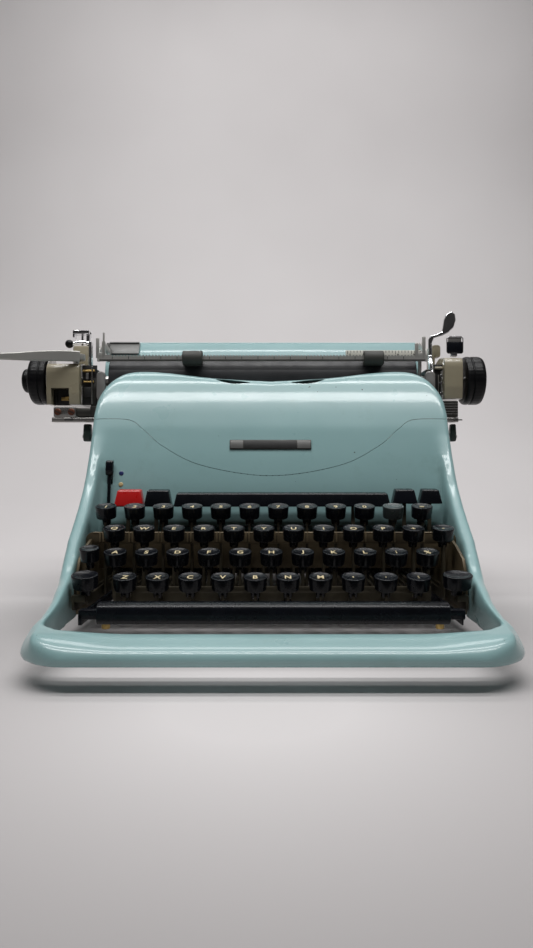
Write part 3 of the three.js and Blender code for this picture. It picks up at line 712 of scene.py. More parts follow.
whole = smooth_casting()
cover = copied(whole, "cover")
cut(cover, "INTERSECT", seam(0.25), "MANIFOLD")
EYELID = [(-39, 174.2), (-32, 173.9), (-25, 173.2), (-18, 172.3), (-12.5, 171.4), (-18, 170.5), (-25, 170.3),
          (-32, 171.5), (-39, 174.2)]
for mirror in (False, True):
    almond = [(2 * BODY_X - x if mirror else x, z) for x, z in spline(EYELID, 48)[:-1]]
    cut(cover, "DIFFERENCE", prism(almond, "y", 15, 46), "MANIFOLD")
cut(whole, "DIFFERENCE", seam(-0.1), "MANIFOLD")
SELECTOR_SLOT = block((-113.9, -30, 94.5), (-109.9, 14, 111.8), 0)
cut(whole, "DIFFERENCE", SELECTOR_SLOT, "MANIFOLD")
finished(cover, "ribbon_cover_shell", [PAINT], "cover", "ribbon_cover")
finished(whole, "body_casting", [PAINT], "machine_body", "body_shell")

# ---------------------------------------------------------------- keys and levers
PITCH, KEY_R, TILT, PIVOT_Y = 19.05, 7.0, 13, 112
FRONT_FIRST, FRONT_LETTERS = -82.7, "ZXCVBNM,.:"
LEVER_LOW, LEVER_HIGH, STEM = 22, 28, 1.6
CAP_PROFILE = soft([(0, -0.95), (3.0, -0.85), (5.0, -0.45), (5.9, -0.12), (6.1, 0.0), (6.75, 0.0),
                    (7.0, -0.35), (6.92, -1.6), (6.5, -7.6), (6.1, -8.2), (3.3, -8.6), (2.9, -9.2),
                    (2.6, -12.8), (0, -12.8)], 0.3)
ROWS = [
    ("keys_row_numbers", "number_keys", -106.5, -44, 81, (30, 36), "1234567890 ="),
    ("keys_row_upper", "upper_keys", -97, -62.7, 68, (48, 36), "QWERTYUIOP+-"),
    ("keys_row_home", "home_keys", -92.25, -81.4, 55, (66, 36), "ASDFGHJKL;%"),
    ("key_front", "front_key_", FRONT_FIRST, -100, 42.5, None, FRONT_LETTERS),
]
CAP_SLOT, LEGEND_SLOT, LEVER_SLOT, GREY_SLOT = 0, 1, 2, 3
LEGEND_SIZE, CAP_SIDES = 7, 44
KEY_MATERIALS = [BLACK, LEGEND, LEVER, GREY_KEY]


def glyph(character, size, slot):
    """A thin raised character, centred on the origin and lying in the xy plane."""
    data = bpy.data.curves.new("glyph", "FONT")
    data.body, data.size, data.extrude, data.offset = character, size, 0.07, 0.1
    data.align_x = data.align_y = "CENTER"
    data.resolution_u = 3
    obj = bpy.data.objects.new("glyph", data)
    mesh = bpy.data.meshes.new_from_object(obj)
    bpy.data.objects.remove(obj)
    bm = bmesh.new()
    bm.from_mesh(mesh)
    bmesh.ops.remove_doubles(bm, verts=bm.verts, dist=0.002)
    bpy.data.meshes.remove(mesh)
    shape = from_bmesh(bm, slot)
    if not shape.verts:
        return shape
    mid = [(min(v[k] for v in shape.verts) + max(v[k] for v in shape.verts)) / 2 for k in (0, 1)]
    return shape.at(-mid[0], -mid[1], 0).scaled(0.8, 1, 1)


def cap(x, y, top, character=" ", stretch=1.0, radius=KEY_R, grey=False):
    k = radius / KEY_R
    out = lathe(CAP_PROFILE, "z", (0, 0, 0), CAP_SIDES, GREY_SLOT if grey else CAP_SLOT)
    out = out.scaled(k * stretch, k, 1)
    if character.strip():
        out = out + glyph(character, LEGEND_SIZE, LEGEND_SLOT).at(0, 0.3, -0.72)
    return out.turned(TILT, "X").at(x, y, top)


def lever(x, y, top, lane=None, width=STEM):
    """A flat lever: an upright under the cap that curves into a long bar back to the pivot."""
    lane = x if lane is None else lane
    foot = [(y + 3, top - 11), (y - 2, top - 11)]
    bend = spline([(y - 2, top - 14), (y - 2.4, LEVER_HIGH + 3), (y - 1.5, LEVER_LOW + 1.5),
                   (y + 3, LEVER_LOW)], 8)
    back = PIVOT_Y - 5
    inner = spline([(y + 14, LEVER_HIGH + 0.2), (y + 6, LEVER_HIGH + 1.6), (y + 3, LEVER_HIGH + 6)], 6)
    outline = foot + bend + [(back, LEVER_LOW + 3), (back, LEVER_HIGH + 3)] + inner
    return prism(outline, "x", lane - width / 2, lane + width / 2, 0.2, LEVER_SLOT, 1)


for node, body, first, y, top, bar, letters in ROWS:
    keys = []
    for i, letter in enumerate(letters):
        x = first + i * PITCH
        keys.append(cap(x, y, top, letter, grey=letter == " ") + lever(x, y, top))
    if bar is None:
        for i, key in enumerate(keys):
            piece(f"front_key_{i + 1}", key, KEY_MATERIALS, f"{body}{i + 1}", (f"{node}_{i + 1}",))
        continue
    by, bz = bar
    last = first + (len(letters) - 1) * PITCH
    lanes = [first + i * PITCH for i in range(len(letters))]
    posts = [block((x - STEM / 2, by - 2, 25), (x + STEM / 2, by + 2, bz + 1), 0.15, LEVER_SLOT)
             for x in lanes]
    beam = block((first - STEM / 2, by - 2, bz), (last + STEM / 2, by + 2, bz + 4), 0.3, LEVER_SLOT)
    piece(node.replace("keys_row", "row"), merged(keys + posts + [beam]), KEY_MATERIALS, body, (node,))


def shift_key(name, body, node, x, lane, stretch):
    low, high = min(x, lane) - 0.8, max(x, lane) + 0.8
    bridge = block((low, -102, 27.5), (high, -97, 31.5), 0.3, LEVER_SLOT)
    shape = cap(x, -100, 43.5, stretch=stretch) + lever(lane, -100, 40.5, lane) + bridge
    piece(name, shape, KEY_MATERIALS, body, (node,))


shift_key("shift_left_key", "shift_left", "shift_key_left", -106, -112.4, 1.12)
shift_key("shift_right_key", "shift_right", "shift_key_right", 111.5, 116.4, 1.24)
lock = cap(-108, -81.4, 57, radius=6) + lever(-109.2, -81.4, 56, -109.2, 1.3)
piece("shift_lock_cap", lock, KEY_MATERIALS, "shift_lock", ("shift_lock_key",))

# Space bar: a crowned bar with a flat front lip, on two arms.
SPACE_LEFT, SPACE_RIGHT = -92, 99.5
ARM_LOW, ARM_MIDDLE, ARM_HIGH, END_HIGH = 19.5, 22.5, 25.5, 28
space_section = [(-131, 22.5), (-131, 28.6), (-129.9, 30.6), (-127, 31.8), (-122.5, 32.0), (-119.9, 31.0),
                 (-119, 29.0), (-119, 21.5), (-120, 20.5), (-129.5, 20.5)]
space_bar = prism(space_section, "x", SPACE_LEFT, SPACE_RIGHT, 0.9, 0, 3)
for lane, inner, outer, end in ((-101.7, 1, 1, SPACE_LEFT), (107.5, 1, -0.1, SPACE_RIGHT)):
    low, high = min(lane - 1, end - 2), max(lane + 1, end + 2)
    arm = block((lane - inner, -127, ARM_LOW), (lane + outer, 0, ARM_HIGH), 0.3, 0)
    space_bar = merged([space_bar, arm, block((low, -127, ARM_MIDDLE), (high, -121, END_HIGH), 0.8, 0)])
stud = [(0, 0), (2.2, 0), (2.4, 0.4), (2.4, 3), (1.2, 3.4), (0, 3.4)]
for x in (-88, 95):
    space_bar = space_bar + lathe(stud, "z", (x, -124.5, 17.4), 20, 1)
piece("space_bar_cap", space_bar, [BLACK, BRASS], "spacer", ("space_bar",))


def wedge(x0, x1, top, low):
    """A function key: a trapezoid seen from the front, with a top face that slopes to the typist."""
    y, taper = -22, 2.0
    loops = [(x0, x1, y - 6, y + 6, low), (x0 + taper, x1 - taper, y - 3.6, y + 4.4, top)]
    verts = []
    for a, b, c, d, z in loops:
        lift = 0.9 if z == top else 0
        verts += [(a, c, z - lift), (b, c, z - lift), (b, d, z), (a, d, z)]
    faces = [(3, 2, 1, 0), (4, 5, 6, 7)] + [(i, (i + 1) % 4, 4 + (i + 1) % 4, 4 + i) for i in range(4)]
    return rounded(Shape(verts, faces, 0), 1.0, 4, slot=0)


def stem(x):
    return block((x - 1.2, -23.5, 44), (x + 1.2, -21, 83.5), 0.2, 1)


for name, body, node, spans, stems, material in (
        ("margin_key", "margin_release", "margin_release_key", (-105, -85, 91.5, 79.5), (-96,), RED),
        ("backspace_cap", "backspace", "backspace_key", (-84.4, -65.6, 91.5, 79.5), (-76.5,), BLACK),
        ("tabulator_cap", "tabulator", "tabulator_bar", (-64, 85.5, 89.5, 79.5), (-50, 60), BLACK),
        ("tab_clear_cap", "tab_clear", "tab_clear_key", (87, 104, 92, 81.5), (95.5,), BLACK),
        ("tab_set_cap", "tab_set", "tab_set_key", (105.5, 121, 92, 81.5), (113,), BLACK)):
    piece(name, merged([wedge(*spans)] + [stem(x) for x in stems]), [material, LEVER], body, (node,))

# ---------------------------------------------------------------- keyboard frame and type action
PLATE = [(-80, 16), (-14.5, 14), (124, 14), (124, 40), (-10, 40), (-15, 60), (-40, 62), (-60, 57),
         (-78, 50), (-83, 42), (-84, 34), (-84, 20), (-83, 17)]
frame_parts = [prism(PLATE, "x", x - 0.9, x + 0.9, 0.3) for x in (-114.9, 121)]
GUARD_LEFT, GUARD_RIGHT, GUARD_LOW, GUARD_TOP = -118.2, 124.2, 56.5, 64.0
guard = [(x, z) for x, z in rounded_rect(GUARD_LEFT, 50, GUARD_RIGHT, GUARD_TOP, 5, 6) if z > 58]
guard += [(GUARD_LEFT, GUARD_LOW), (GUARD_RIGHT, GUARD_LOW)]
frame_parts.append(prism(guard, "y", -50.2, -48.9, 0.4))
frame_parts.append(rod((-113.5, -49.6, 63.4), (119.5, -49.6, 63.4), 0.8))
for y0, z0, y1, z1, edge_radius in ((-31.5, 38, -30, 56, 0.3), (-16.5, 56, -14.5, 60, 0.4),
                                    (96, 33.5, 103, 39.5, 0.5), (121, 12.5, 123, 40, 0.4)):
    frame_parts.append(block((-115.2, y0, z0), (121, y1, z1), edge_radius))
for i in range(12):
    x = -107.7 + i * PITCH
    frame_parts += [block((x + d - 0.5, -51.3, 57.5), (x + d + 0.5, -50.0, 64.1), 0.3, 1)
                    for d in (-1, 1)]
piece("keyboard_plates", merged(frame_parts), [BRONZE, LUG], "machine_body", ("keyboard_frame",))

comb = []
COMB_LEFT, COMB_RIGHT, COMB_SLOT_HALF = -90, 98, 2
edges_x = [COMB_LEFT] + [FRONT_FIRST + i * PITCH + side * COMB_SLOT_HALF
                         for i in range(len(FRONT_LETTERS)) for side in (-1, 1)] + [COMB_RIGHT]
for a, b in zip(edges_x[::2], edges_x[1::2]):
    comb.append(block((a, -91.2, 20), (b, -89.4, 31.5), 0.25))
comb.append(block((COMB_LEFT, -91.4, 31), (COMB_RIGHT, -89.2, 35), 0.6))
piece("comb_plate", merged(comb), [LEVER], "machine_body", ("key_comb",))
BASKET_Z = 146


def ring_sector(inner, outer, start, end, steps):
    angles = [math.radians(start + (end - start) * i / steps) for i in range(steps + 1)]
    arc = [(outer * math.cos(t), BASKET_Z + outer * math.sin(t)) for t in angles]
    return arc + [(inner * math.cos(t), BASKET_Z + inner * math.sin(t)) for t in reversed(angles)]


segment = (prism(ring_sector(60, 74, 205, 335, 60), "y", 22, 34, 0.5)
           + block((-76, 24, 62), (76, 32, 76), 0.8))
piece("segment_block", segment, [DULL], "type_basket", ("type_segment",))
bars = [prism(ring_sector(54, 58, 208, 332, 60), "y", 29.2, 33, 0.2)]
for i in range(21):
    angle = math.radians(210 + i * 6)
    bar = block((26, 24, -0.7), (59.3, 30, 0.7), 0.15) + block((24.5, 23.2, -1.6), (31, 31, 1.6), 0.4)
    bars.append(bar.moved(Matrix.Rotation(-angle, 4, "Y")).at(0, 0, BASKET_Z))
piece("type_bar_fan", merged(bars), [DULL], "type_basket", ("type_bars",))

SPOOL = soft([(0, 0), (19, 0), (19, 1), (7, 1), (7, 14), (19, 14), (19, 15), (0, 15)], 0.3)
wound = [(7, 1.4), (16, 1.4), (16, 13.6), (7, 13.6)]
for x, name, body, node in ((-104, "spool_l", "spool_left", "ribbon_spool_left"),
                            (104, "spool_r", "spool_right", "ribbon_spool_right")):
    shape = lathe(SPOOL, "z", (x, 42, 116), 48, 0) + lathe(wound, "z", (x, 42, 116), 48, 1)
    piece(name, shape, [STEEL, RIBBON], body, (node,))

# Ribbon selector: a long flat finger with a thumb piece, and three colour dots on the face beside it.
finger = [(-14, 75), (-12.2, 75), (-9.9, 90), (-7.5, 100.5), (-1, 103), (-1, 110), (-5.4, 110), (-5.1, 111),
          (-7, 111.4), (-11.8, 90)]
thumb = [(-10.6, 101), (-7.4, 101), (-5.2, 110.8), (-8, 112), (-10.2, 111), (-11.4, 105)]
selector = prism(finger, "x", -113, -110.8, 0.35, 0) + prism(thumb, "x", -114.6, -109.2, 1.1, 0, 3)
piece("selector_finger", selector, [BLACK], "selector", ("ribbon_selector",))
FACE = spline(FACE_LINE, 60)


def face_point(z):
    """The y of the body's front face at a height."""
    a, b = next((a, b) for a, b in zip(FACE, FACE[1:]) if b[1] >= z)
    return a[0] + (b[0] - a[0]) * (z - a[1]) / (b[1] - a[1])


DOT_X, DOT_TILT = -104, 77
dot_profile = soft([(0, -0.9), (1.6, -0.9), (1.7, 0.25), (1.1, 0.55), (0, 0.6)], 0.2)
for z, material, name in ((102.5, BLUE_DOT, "dot_blue_button"), (94.5, GOLD_DOT, "dot_cream_button"),
                          (86.5, RED, "dot_red_button")):
    dot = lathe(dot_profile, "z", (0, 0, 0), 28, 0).turned(DOT_TILT, "X").at(DOT_X, face_point(z) + 0.1, z)
    piece(name, dot, [material], "machine_body", ())

# Name badge without a name: a black centre between two grey ends, in a thin dull frame.
BADGE_LOW, BADGE_HIGH = 119.8, 126.6
SLOPE = math.atan2(face_point(BADGE_HIGH) - face_point(BADGE_LOW), BADGE_HIGH - BADGE_LOW)
badge = merged([block((x0, front, low), (x1, back, high), 0.12, slot)
                for x0, x1, low, high, front, back, slot in (
                    (-26.6, 32.4, 0, 7.1, -0.9, 0.1, 0), (-16.4, 21.8, 0.5, 6.6, -1.1, -0.8, 1),
                    (-26.1, -16.9, 0.5, 6.6, -1.2, -0.8, 2), (22.3, 31.9, 0.5, 6.6, -1.2, -0.8, 2))])
badge = badge.moved(Matrix.Rotation(-SLOPE, 4, "X")).at(0, face_point(BADGE_LOW), BADGE_LOW)
piece("badge", badge, [DULL, INK_AND_SHADE, PLAQUE], "cover", ("name_badge",))

# ---------------------------------------------------------------- feet and inner pieces
foot_profile = soft([(0, 0), (5.2, 0), (5.6, 3), (5.4, 4), (5.9, 8), (6, 11.7), (0, 11.7)], 0.6)
for node, x, y in (("foot_front_left", -122, -120), ("foot_front_right", 122, -120),
                   ("foot_rear_left", -124, 156), ("foot_rear_right", 124, 156)):
    foot = lathe(foot_profile, "z", (BODY_X + x, y, 0), 40)
    piece(f"{node}_rubber", foot, [FOOT], "machine_body", (node,))
bed_section = [(100, 140.3), (112, 140.3), (112, 144), (110, 146), (102, 146), (100, 144)]
bed_screw = soft([(0, 0), (3, 0), (3, 0.6), (2, 1.3), (0, 1.5)], 0.2)
bed = merged([prism(bed_section, "x", -127, 132, 0.3)]
             + [lathe(bed_screw, "z", (x, 106, 145.7), 24, 1) for x in (-115, -40, 45, 120)])
piece("bed_rail", bed, [STEEL, SCREW], "machine_body", ("carriage_bed",))
shaft = rod((-124, PIVOT_Y, 30), (130, PIVOT_Y, 30), 3, 28)
piece("pivot_rod", shaft, [STEEL], "machine_body", ("key_pivot_shaft",))
drum = soft([(0, 0), (25, 0), (25, 1.2), (23.6, 1.4), (23.6, 10.6), (25, 10.8), (25, 12), (20, 12),
             (18, 14), (0, 14)], 0.4)
drum = lathe(drum, "y", (-60, 150, 104), 60)
piece("spring_drum", drum, [DULL], "mainspring", ("mainspring_drum",))
latch_outline = [(50, 128), (58, 128), (58.5, 134), (56, 142), (51, 142), (49.5, 134)]
latch_screw = [(0, 0), (2, 0), (2, 0.8), (1.3, 1.3), (0, 1.4)]
for side, wall, inner, width, name, node, body in (
        (1, 134.4, 147, 4.5, "latch_r_lever", "latch_right", "latch_r"),
        (-1, 128.4, 140.3, 6, "latch_l_lever", "latch_left", "latch_l")):
    shape = (prism(latch_outline, "x", inner, inner + width, 1.2, 0, 3)
             + rod((wall, 54, 132), (inner + 1, 54, 132), 1.6, slot=1)
             + lathe(latch_screw, "x", (inner + width - 0.2, 54, 132), 24, 1))
    shape = shape if side > 0 else shape.scaled(-1, 1, 1)
    piece(name, shape, [DARK_GREEN, STEEL], body, (node,))

# ---------------------------------------------------------------- carriage
AXLE_Y, AXLE_Z, HOLE, RING_R = 64, 178, 4.6, 9


def holed(outline, low, high, bevel=0.3, slot=0):
    """A prism along x of a convex outline (y, z), with a round hole for the axle."""
    c = Vector((AXLE_Y, AXLE_Z))
    corners = [Vector(p) - c for p in outline]
    angles = sorted({round(2 * math.pi * i / 48 - math.pi, 6) for i in range(48)} |
                    {round(math.atan2(p.y, p.x), 6) for p in corners})
    rim = []
    for angle in angles:
        d = Vector((math.cos(angle), math.sin(angle)))
        hits = []
        for a, b in zip(corners, corners[1:] + corners[:1]):
            e = b - a
            det = d.x * e.y - d.y * e.x
            if abs(det) > 1e-9:
                t, u = (a.x * e.y - a.y * e.x) / det, (a.x * d.y - a.y * d.x) / det
                if t > 0 and -1e-4 <= u <= 1.0001:
                    hits.append(t)
        rim.append((c + d * max(hits), c + d * HOLE))
    n = len(rim)
    verts = [(x, p.x, p.y) for x in (low, high) for k in (0, 1) for p in (pair[k] for pair in rim)]
    faces = []
    for i in range(n):
        j = (i + 1) % n
        faces += [(i, n + i, n + j, j), (2 * n + i, 2 * n + j, 3 * n + j, 3 * n + i),
                  (i, j, 2 * n + j, 2 * n + i), (n + i, 3 * n + i, 3 * n + j, n + j)]
    return rounded(Shape(verts, faces, slot), bevel, slot=slot)


def ring(low, high):
    circle = [(AXLE_Y + RING_R * math.cos(math.pi * i / 20), AXLE_Z + RING_R * math.sin(math.pi * i / 20))
              for i in range(40)]
    return holed(circle, low, high)


def screw_head(x, y, z, radius, slot, slot_dark):
    """A cheese-head screw that faces the typist, with a black bar on its face as painted shade for the driver
    slot.
    """
    profile = soft([(0, 0), (radius, 0), (radius, 0.9), (radius * 0.8, 1.3), (0, 1.4)], 0.25)
    head = lathe(profile, "y", (0, 0, 0), 28, slot).scaled(1, -1, 1)
    half = radius * 0.85
    # Painted shade: the driver slot is a black bar laid on the head, not a cut groove.
    driver = block((-half, -1.55, -0.35), (half, -1.2, 0.35), 0.05, slot_dark).turned(24, "Y")
    return (head + driver).at(x, y, z)


rail = prism([(46, 143.2), (53, 143.2), (53, 147), (46.9, 147), (46, 146.1)], "x", -170, 152, 0.25)
rail = merged([rail] + [block((x, 45.85, 144.4), (x + 7, 46.2, 145.3), 0.1, 1) for x in range(-160, 150, 22)])
piece("rail_bar", rail, [STEEL, INK_AND_SHADE], "carriage", ("carriage_rail",))

bearing_outline = [(50, 147.3), (84, 147.3), (84, 160), (74, 186), (54, 186), (50, 170)]
parts = [block((-147, 54, 147.3), (137, 98, 150), 0.5, 1), holed(bearing_outline, -140, -136, slot=1),
         holed(bearing_outline, 128, 132, slot=1)]
for x0, x1 in ((-134, -127), (125, 133)):
    parts.append(prism(rounded_rect(x0, 160, x1, 183, 3.3, 8), "y", 43, 46, 0.9, 2, 3))
    parts.append(block((x0 + 1, 45, 147.3), (x1 - 1, 50.5, 168), 0.4, 1))
parts += [block((-140, 47, 147.3), (-128, 54.5, 156), 0.9, 1),
          block((126, 47, 147.3), (137, 54.5, 156), 0.9, 1),
          block((-169, 47, 147.3), (-151.2, 58, 155), 0.6, 0),
          block((-152, 47.4, 147.3), (-139, 58, 154.4), 2.2, 1),
          block((134, 47, 147.3), (152, 58, 160), 0.6, 1)]
parts += [block((134.6, 46.8, z), (151.6, 47.2, z + 0.5), 0.1, 3)
          for z in (149.5, 151.5, 153.5, 155.5, 157.5)]
parts += [screw_head(x, 47.1, 151.2, 2.8, 4, 5) for x in (-165.4, -154.6)]
piece("tray_and_bearings", merged(parts), [STEEL, DULL, FINGER, STEEL, SCREW, INK_AND_SHADE], "carriage",
      ("carriage_frame",))

END = [(46, 157), (44.6, 166), (44.4, 183), (45, 186.5), (46.8, 189), (50, 190), (64, 191.5), (82, 188),
       (92, 179), (94, 160), (92, 157)]
left_end = temp(holed(END, -174, -148, bevel=1.1))
cut(left_end, "DIFFERENCE", block((-170.2, 40, 150), (-156, 54, 170), 0), "MANIFOLD")
left_end.data.transform(PLACE)
left_end.data.set_sharp_from_angle(angle=math.radians(PIECE_SHARP))
left_end.name = left_end.data.name = "end_cover_left"
settle(left_end, [BEIGE], "carriage", ("carriage_end_left",))
detail = [block((-152, 82, 184), (-149, 88, 222.5), 0.6, 0),
          block((-163, 80, 219.5), (-149, 88, 223), 0.9, 0),
          block((-163, 80.4, 216.8), (-161.4, 87.6, 221), 0.5, 0),
          block((-156.4, 83, 196), (-154.6, 86, 219.8), 0.5, 0),
          rod((-152, 52, 189), (-152, 52, 199), 2.2, slot=0),
          block((-161, 72.5, 186), (-147.5, 81.5, 209), 2.2, 1),
          # Painted shade: this black plate at the back of the end cover's cut opening stands for the dark
          # inside of the opening.
          block((-170, 52.6, 157.3), (-156.3, 53.8, 169.9), 0.2, 2),
          block((-163.5, 49.5, 160.5), (-157.5, 52.4, 163.2), 0.4, 3),
          rod((-168, 51.5, 158.5), (-168, 51.5, 169), 0.7, slot=2),
          rod((-160.5, 50, 163), (-154, 50, 163), 0.8, slot=3),
          block((-147.6, 52.2, 157.2), (-135.6, 53.4, 189), 0.3, 2),
          rod((-146.8, 50.8, 184.3), (-136.8, 50.8, 184.3), 0.9, slot=3),
          rod((-146, 50.8, 175.5), (-137.5, 50.8, 175.5), 0.8, slot=3),
          block((-145.5, 50, 163), (-139.5, 52, 171.5), 0.6, 2),
          block((-144, 49.6, 177.5), (-141.8, 52, 182.5), 0.4, 4),
          rod((-139, 49.8, 157.6), (-139, 49.8, 187.5), 0.6, slot=4)]
flange = soft([(4.8, 0), (17.2, 0), (18.4, 0.5), (18.4, 1.0), (4.8, 1.0)], 0.25) + [(4.8, 0)]
detail.append(lathe(flange[:-1], "x", (-175.1, AXLE_Y, AXLE_Z), 64, 4))
piece("end_left_fittings", merged(detail), [CHROME, BEIGE, INK_AND_SHADE, BRASS, STEEL], "carriage", ())

right_end = holed([(y, z + 4.6) for y, z in END], 141, 155, bevel=1.1)
piece("end_cover_right", right_end, [BEIGE], "carriage", ("carriage_end_right",))
detail = [block((133.4, 51.5, 161), (140.6, 53, 189.5), 0.3, 0),
          rod((134.2, 50.2, 186.5), (140.6, 50.2, 186.5), 1.1, slot=1),
          rod((139.4, 49.8, 162), (139.4, 49.8, 184), 0.7, slot=2),
          rod((137, 49.9, 164), (137, 49.9, 181), 0.5, slot=2),
          block((135, 75, 188.5), (140.8, 84, 208), 2.0, 3),
          block((137.8, 74.6, 199), (145.5, 83.5, 210), 2.6, 3)]
detail += [rod((139.4, 49.4, z), (139.4, 48.8, z), 1.3, slot=4) for z in (166, 174, 180)]
piece("end_right_fittings", merged(detail), [INK_AND_SHADE, BEIGE, STEEL, BEIGE, CHROME], "carriage", ())

core = soft([(0, -175.2), (4, -175.2), (4, -124), (12, -124), (12, 118), (4, 118), (4, 158.7),
             (0, 158.7)], 0.4)
piece("platen_axle", lathe(core, "x", (0, AXLE_Y, AXLE_Z), 40), [STEEL], "platen", ("platen_core",))
rubber = soft([(12.4, -125), (19.2, -125), (20, -124.2), (20, 118.2), (19.2, 119), (12.4, 119)], 0.3)
piece("platen_roller", lathe(rubber, "x", (0, AXLE_Y, AXLE_Z), 96), [RUBBER], "platen", ("platen_rubber",))


FLUTES = 40


def knob(profile):
    """A turned knob along +x whose rim is finely fluted."""
    shape = lathe(soft(profile, 0.9, 4), "x", (0, 0, 0), FLUTES * 4)
    for v in shape.verts:
        r = math.hypot(v.y, v.z)
        if r > 18.9:
            k = 1 - 0.007 * (0.5 - 0.5 * math.cos(FLUTES * math.atan2(v.z, v.y)))
            v.y, v.z = v.y * k, v.z * k
    return shape


knob_rim = [(0, 0), (13, 0), (18.4, 0.6), (19.5, 2.4), (19.5, 5.0), (18.7, 5.5), (18.7, 6.1), (19.5, 6.6)]
right_knob = knob_rim + [(19.5, 12.5), (18.6, 14.9), (16, 16), (9, 15.6), (0, 15.6)]
shape = knob(right_knob).at(159, AXLE_Y, AXLE_Z)
piece("platen_knob_right", shape, [KNOB], "platen", ("knob_right",))
left_knob = knob_rim + [(19.5, 11.5), (18.6, 13.9), (16, 15), (10.4, 15), (10.4, 12), (0, 12)]
shape = knob(left_knob).at(175.5, AXLE_Y, AXLE_Z).scaled(-1, 1, 1)
piece("platen_knob_left", shape, [KNOB], "platen", ("knob_left",))
button = soft([(0, 0), (9.7, 0), (9.7, 5.6), (9.2, 6.8), (7.9, 7.7), (5, 7.5), (3.5, 7.1), (0, 7.1)], 0.5)
shape = lathe(button, "x", (189.8, AXLE_Y, AXLE_Z), 48).scaled(-1, 1, 1)
piece("clutch_cap", shape, [KNOB], "clutch", ("clutch_button",))


def ribbon(path, half, heights):
    """An upright blade along (x, y) points, with its low and high edge given at each point."""
    p = [Vector(q) for q in path]
    verts, faces = [], []
    for i, (q, (low, high)) in enumerate(zip(p, heights)):
        t = (p[min(i + 1, len(p) - 1)] - p[max(i - 1, 0)]).normalized()
        n = Vector((-t.y, t.x))
        r = min(0.9, half * 0.7)
        for a, z in ((-half, low + r), (-half, high - r), (-half + r, high), (half - r, high),
                     (half, high - r), (half, low + r), (half - r, low), (-half + r, low)):
            verts.append((q.x + n.x * a, q.y + n.y * a, z))
    for i in range(len(p) - 1):
        faces += [(8 * i + k, 8 * i + (k + 1) % 8, 8 * i + 8 + (k + 1) % 8, 8 * i + 8 + k) for k in range(8)]
    faces += [tuple(range(8)), tuple(reversed(range(8 * len(p) - 8, 8 * len(p))))]
    return Shape(verts, faces)


blade = spline([(-147.5, 44.8), (-160, 40), (-177, 31.5), (-200, 20.5), (-235, 9.5), (-258, 4.6),
                (-262, 4)], 60)
edge = spline([(190.6, 199.0), (190.3, 198.9), (189.2, 197.0), (188.3, 193.6), (188.0, 192.6),
               (188.2, 192.3), (189.4, 191.2)], 60)
arm = merged([ribbon(blade, 1.3, edge), block((-158, 43.4, 192.6), (-148.6, 52, 197.4), 1.2),
              lathe(soft([(2.7, 192.6), (7, 192.6), (7, 197.5), (2.7, 197.5)], 0.6), "z", (-152, 52, 0), 40)])
piece("return_blade", arm, [SATIN], "return_arm", ("return_lever",))

ball = [(3.4 * math.sin(math.pi * i / 18), -3.4 * math.cos(math.pi * i / 18)) for i in range(19)]
ball[0], ball[-1] = (0, -3.4), (0, 3.4)
arm_outline = [(58, 182), (64, 184), (63.4, 203), (63, 209), (58, 209)]
neck = spline([(-157.4, 60.5, 207.6), (-154, 60.5, 208.6), (-149, 60.5, 209), (-142.5, 60.5, 207.6)], 14)
shape = merged([ring(-143.8, -141.4), prism(arm_outline, "x", -143.8, -141.4, 0.5), tube(neck, 1.5),
                lathe(ball, "x", (-160, 60.5, 207.6), 36, 1)])
piece("line_space_arm", shape, [CHROME, KNOB], "line_space", ("line_space_lever",))

paddle = [(133.6, 196), (136.8, 196), (136.8, 211), (138.5, 214.4), (145, 216.2), (150, 218.4),
          (154.5, 223), (156.3, 229), (155.8, 234), (152.5, 236.5), (148.8, 234.4), (146.4, 229),
          (145.5, 223), (145.0, 219.4), (140, 217.6), (135.4, 216.2), (133.6, 213)]
arm = merged([ring(133.6, 136.6), prism([(62, 182), (70, 182), (74, 200), (69, 200)], "x", 133.6, 136.6, 0.6),
              prism(paddle, "y", 69.5, 72, 0.9, 0, 3)])
piece("paper_release_arm", arm, [CHROME], "paper_release", ("paper_release_lever",))

plate = merged([block((143.9, 49.3, 198), (156.7, 51.7, 207.6), 1.2, 0),
                block((147, 49.5, 195.8), (152, 53.5, 199), 0.4, 1),
                tube([(144, 50.5, 199), (143.9, 50.5, 210), (145.2, 50.5, 211.6), (155.4, 50.5, 211.6),
                      (156.7, 50.5, 210), (156.6, 50.5, 199)], 0.45, 10, 1),
                block((145, 50.9, 207), (155.6, 51.4, 211.2), 0.1, 2)])
piece("carriage_release_plate", plate, [BLACK, CHROME, FINGER], "carriage_release", ("carriage_release_key",))

TABLE = spline([(88, 168), (90, 190), (97, 207), (104, 216)], 30)


def sheet(line, front, back, x0, x1, bevel):
    outline = [(y + front, z) for y, z in line] + [(y + back, z) for y, z in reversed(line)]
    return prism(outline, "x", x0, x1, bevel)


table = merged([sheet(TABLE, 0, 2, -138, 131, 0.5), rod((-137.4, 105.2, 216.0), (130.4, 105.2, 216.0), 1.1),
                block((-122, 87, 150.3), (-116, 91, 172), 0.4, 1),
                block((112, 87, 150.3), (118, 91, 172), 0.4, 1)])
piece("paper_rest", table, [PAINT_TABLE, STEEL], "carriage", ("paper_table",))
guide = merged([sheet(TABLE[19:], -2, -0.5, -137, -110, 0.3),
                block((-137, 92.2, 198.6), (-134.6, 95, 214.6), 0.3),
                rod((-136.4, 101.4, 216.1), (-110.6, 101.4, 216.1), 0.9)])
piece("paper_guide_plate", guide, [PLAQUE], "guide", ("paper_guide",))

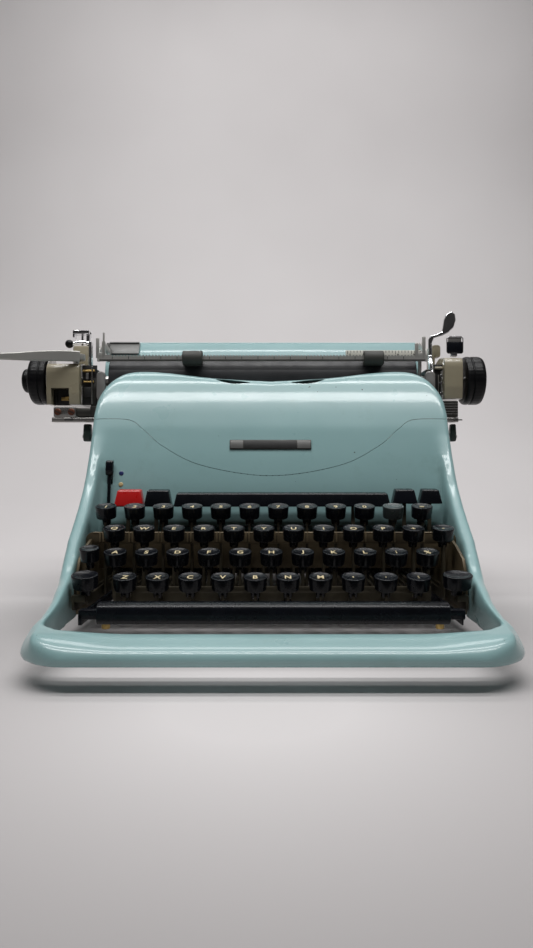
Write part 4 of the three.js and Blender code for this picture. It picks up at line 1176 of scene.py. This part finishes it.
LETTER_PITCH, SCALE_START, SCALE_LENGTH = 2.54, -121, 238
teeth = [(-133, 190.5), (126.6, 190.5), (126.6, 195.5)]
count = int(SCALE_LENGTH / LETTER_PITCH)
for i in range(count, -1, -1):
    x = SCALE_START + i * LETTER_PITCH
    teeth += [(x + 0.7, 195.5), (x + 0.5, 194.5), (x - 0.5, 194.5), (x - 0.7, 195.5)]
teeth.append((-133, 195.5))
bail_arm = [(40.8, 190.5), (44, 190.5), (48, 198), (62, 203.5), (78, 199.5), (83, 203), (80, 207),
            (62, 209), (44, 201)]
parts = [prism(teeth, "y", 41.4, 42.6, 0), block((-132.5, 41.2, 191.0), (126, 41.5, 191.9), 0.1, 1)]
for i in range(count // 5 + 1):
    x = SCALE_START + i * LETTER_PITCH * 5
    parts.append(block((x - 0.2, 41.25, 192.2), (x + 0.2, 41.45, 194.3), 0, 1))
parts += [prism(bail_arm, "x", x, x + 2, 0.4) for x in (-133, 124.6)]
parts += [block((-134, 41.2, 193), (-131.4, 43, 209), 0.7),
          block((-129.4, 41.2, 193), (-126.5, 43, 206.5), 0.7),
          block((-134, 41.3, 193), (-126.5, 42.9, 197.5), 0.6),
          block((-128.4, 40.9, 195), (-126.9, 41.3, 213), 0.15),
          block((122.2, 41.2, 193), (125, 43, 210), 0.7), block((116.5, 41.2, 193), (119.4, 43, 205), 0.7),
          block((116.5, 41.3, 193), (125, 42.9, 197.5), 0.6)]
piece("bail_scale", merged(parts), [SATIN, INK_AND_SHADE], "bail", ("paper_bail",))
for x, name, body, node in ((-58, "roller_l", "roller_left", "bail_roller_left"),
                            (84, "roller_r", "roller_right", "bail_roller_right")):
    profile = soft([(3.0, -7.8), (5.2, -7.8), (5.8, -7.2), (5.8, 7.2), (5.2, 7.8), (3.0, 7.8)], 0.4)
    piece(name, lathe(profile, "x", (x, 42, 193), 40), [ROLLER], body, (node,))

leg = [(49, 200), (50, 200), (50.4, 186), (54, 180), (54, 170), (51.5, 170), (51.5, 179), (48.8, 185)]
marks = [block((63, 49, 195.5), (123.4, 50, 200.5), 0.25), prism(leg, "x", 120.8, 123.4, 0.3, 2)]
RULE_START = 64.5
for i in range(24):
    x, tall = RULE_START + i * LETTER_PITCH, 2.6 if i % 5 == 0 else 1.5
    marks.append(block((x - 0.2, 48.9, 200 - tall), (x + 0.2, 49.1, 200.1), 0, 1))
for i, number in enumerate("56789"):
    x = RULE_START + i * LETTER_PITCH * 5 + 2
    marks.append(glyph(number, 2.6, 1).turned(90, "X").at(x, 48.95, 196.8))
piece("margin_rule", merged(marks), [CREAM, INK_AND_SHADE, STEEL], "carriage", ("margin_scale",))

low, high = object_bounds()
size = {"cad": [list(CAD_BOX[0]), list(CAD_BOX[1])], "visual": [list(low), list(high)]}
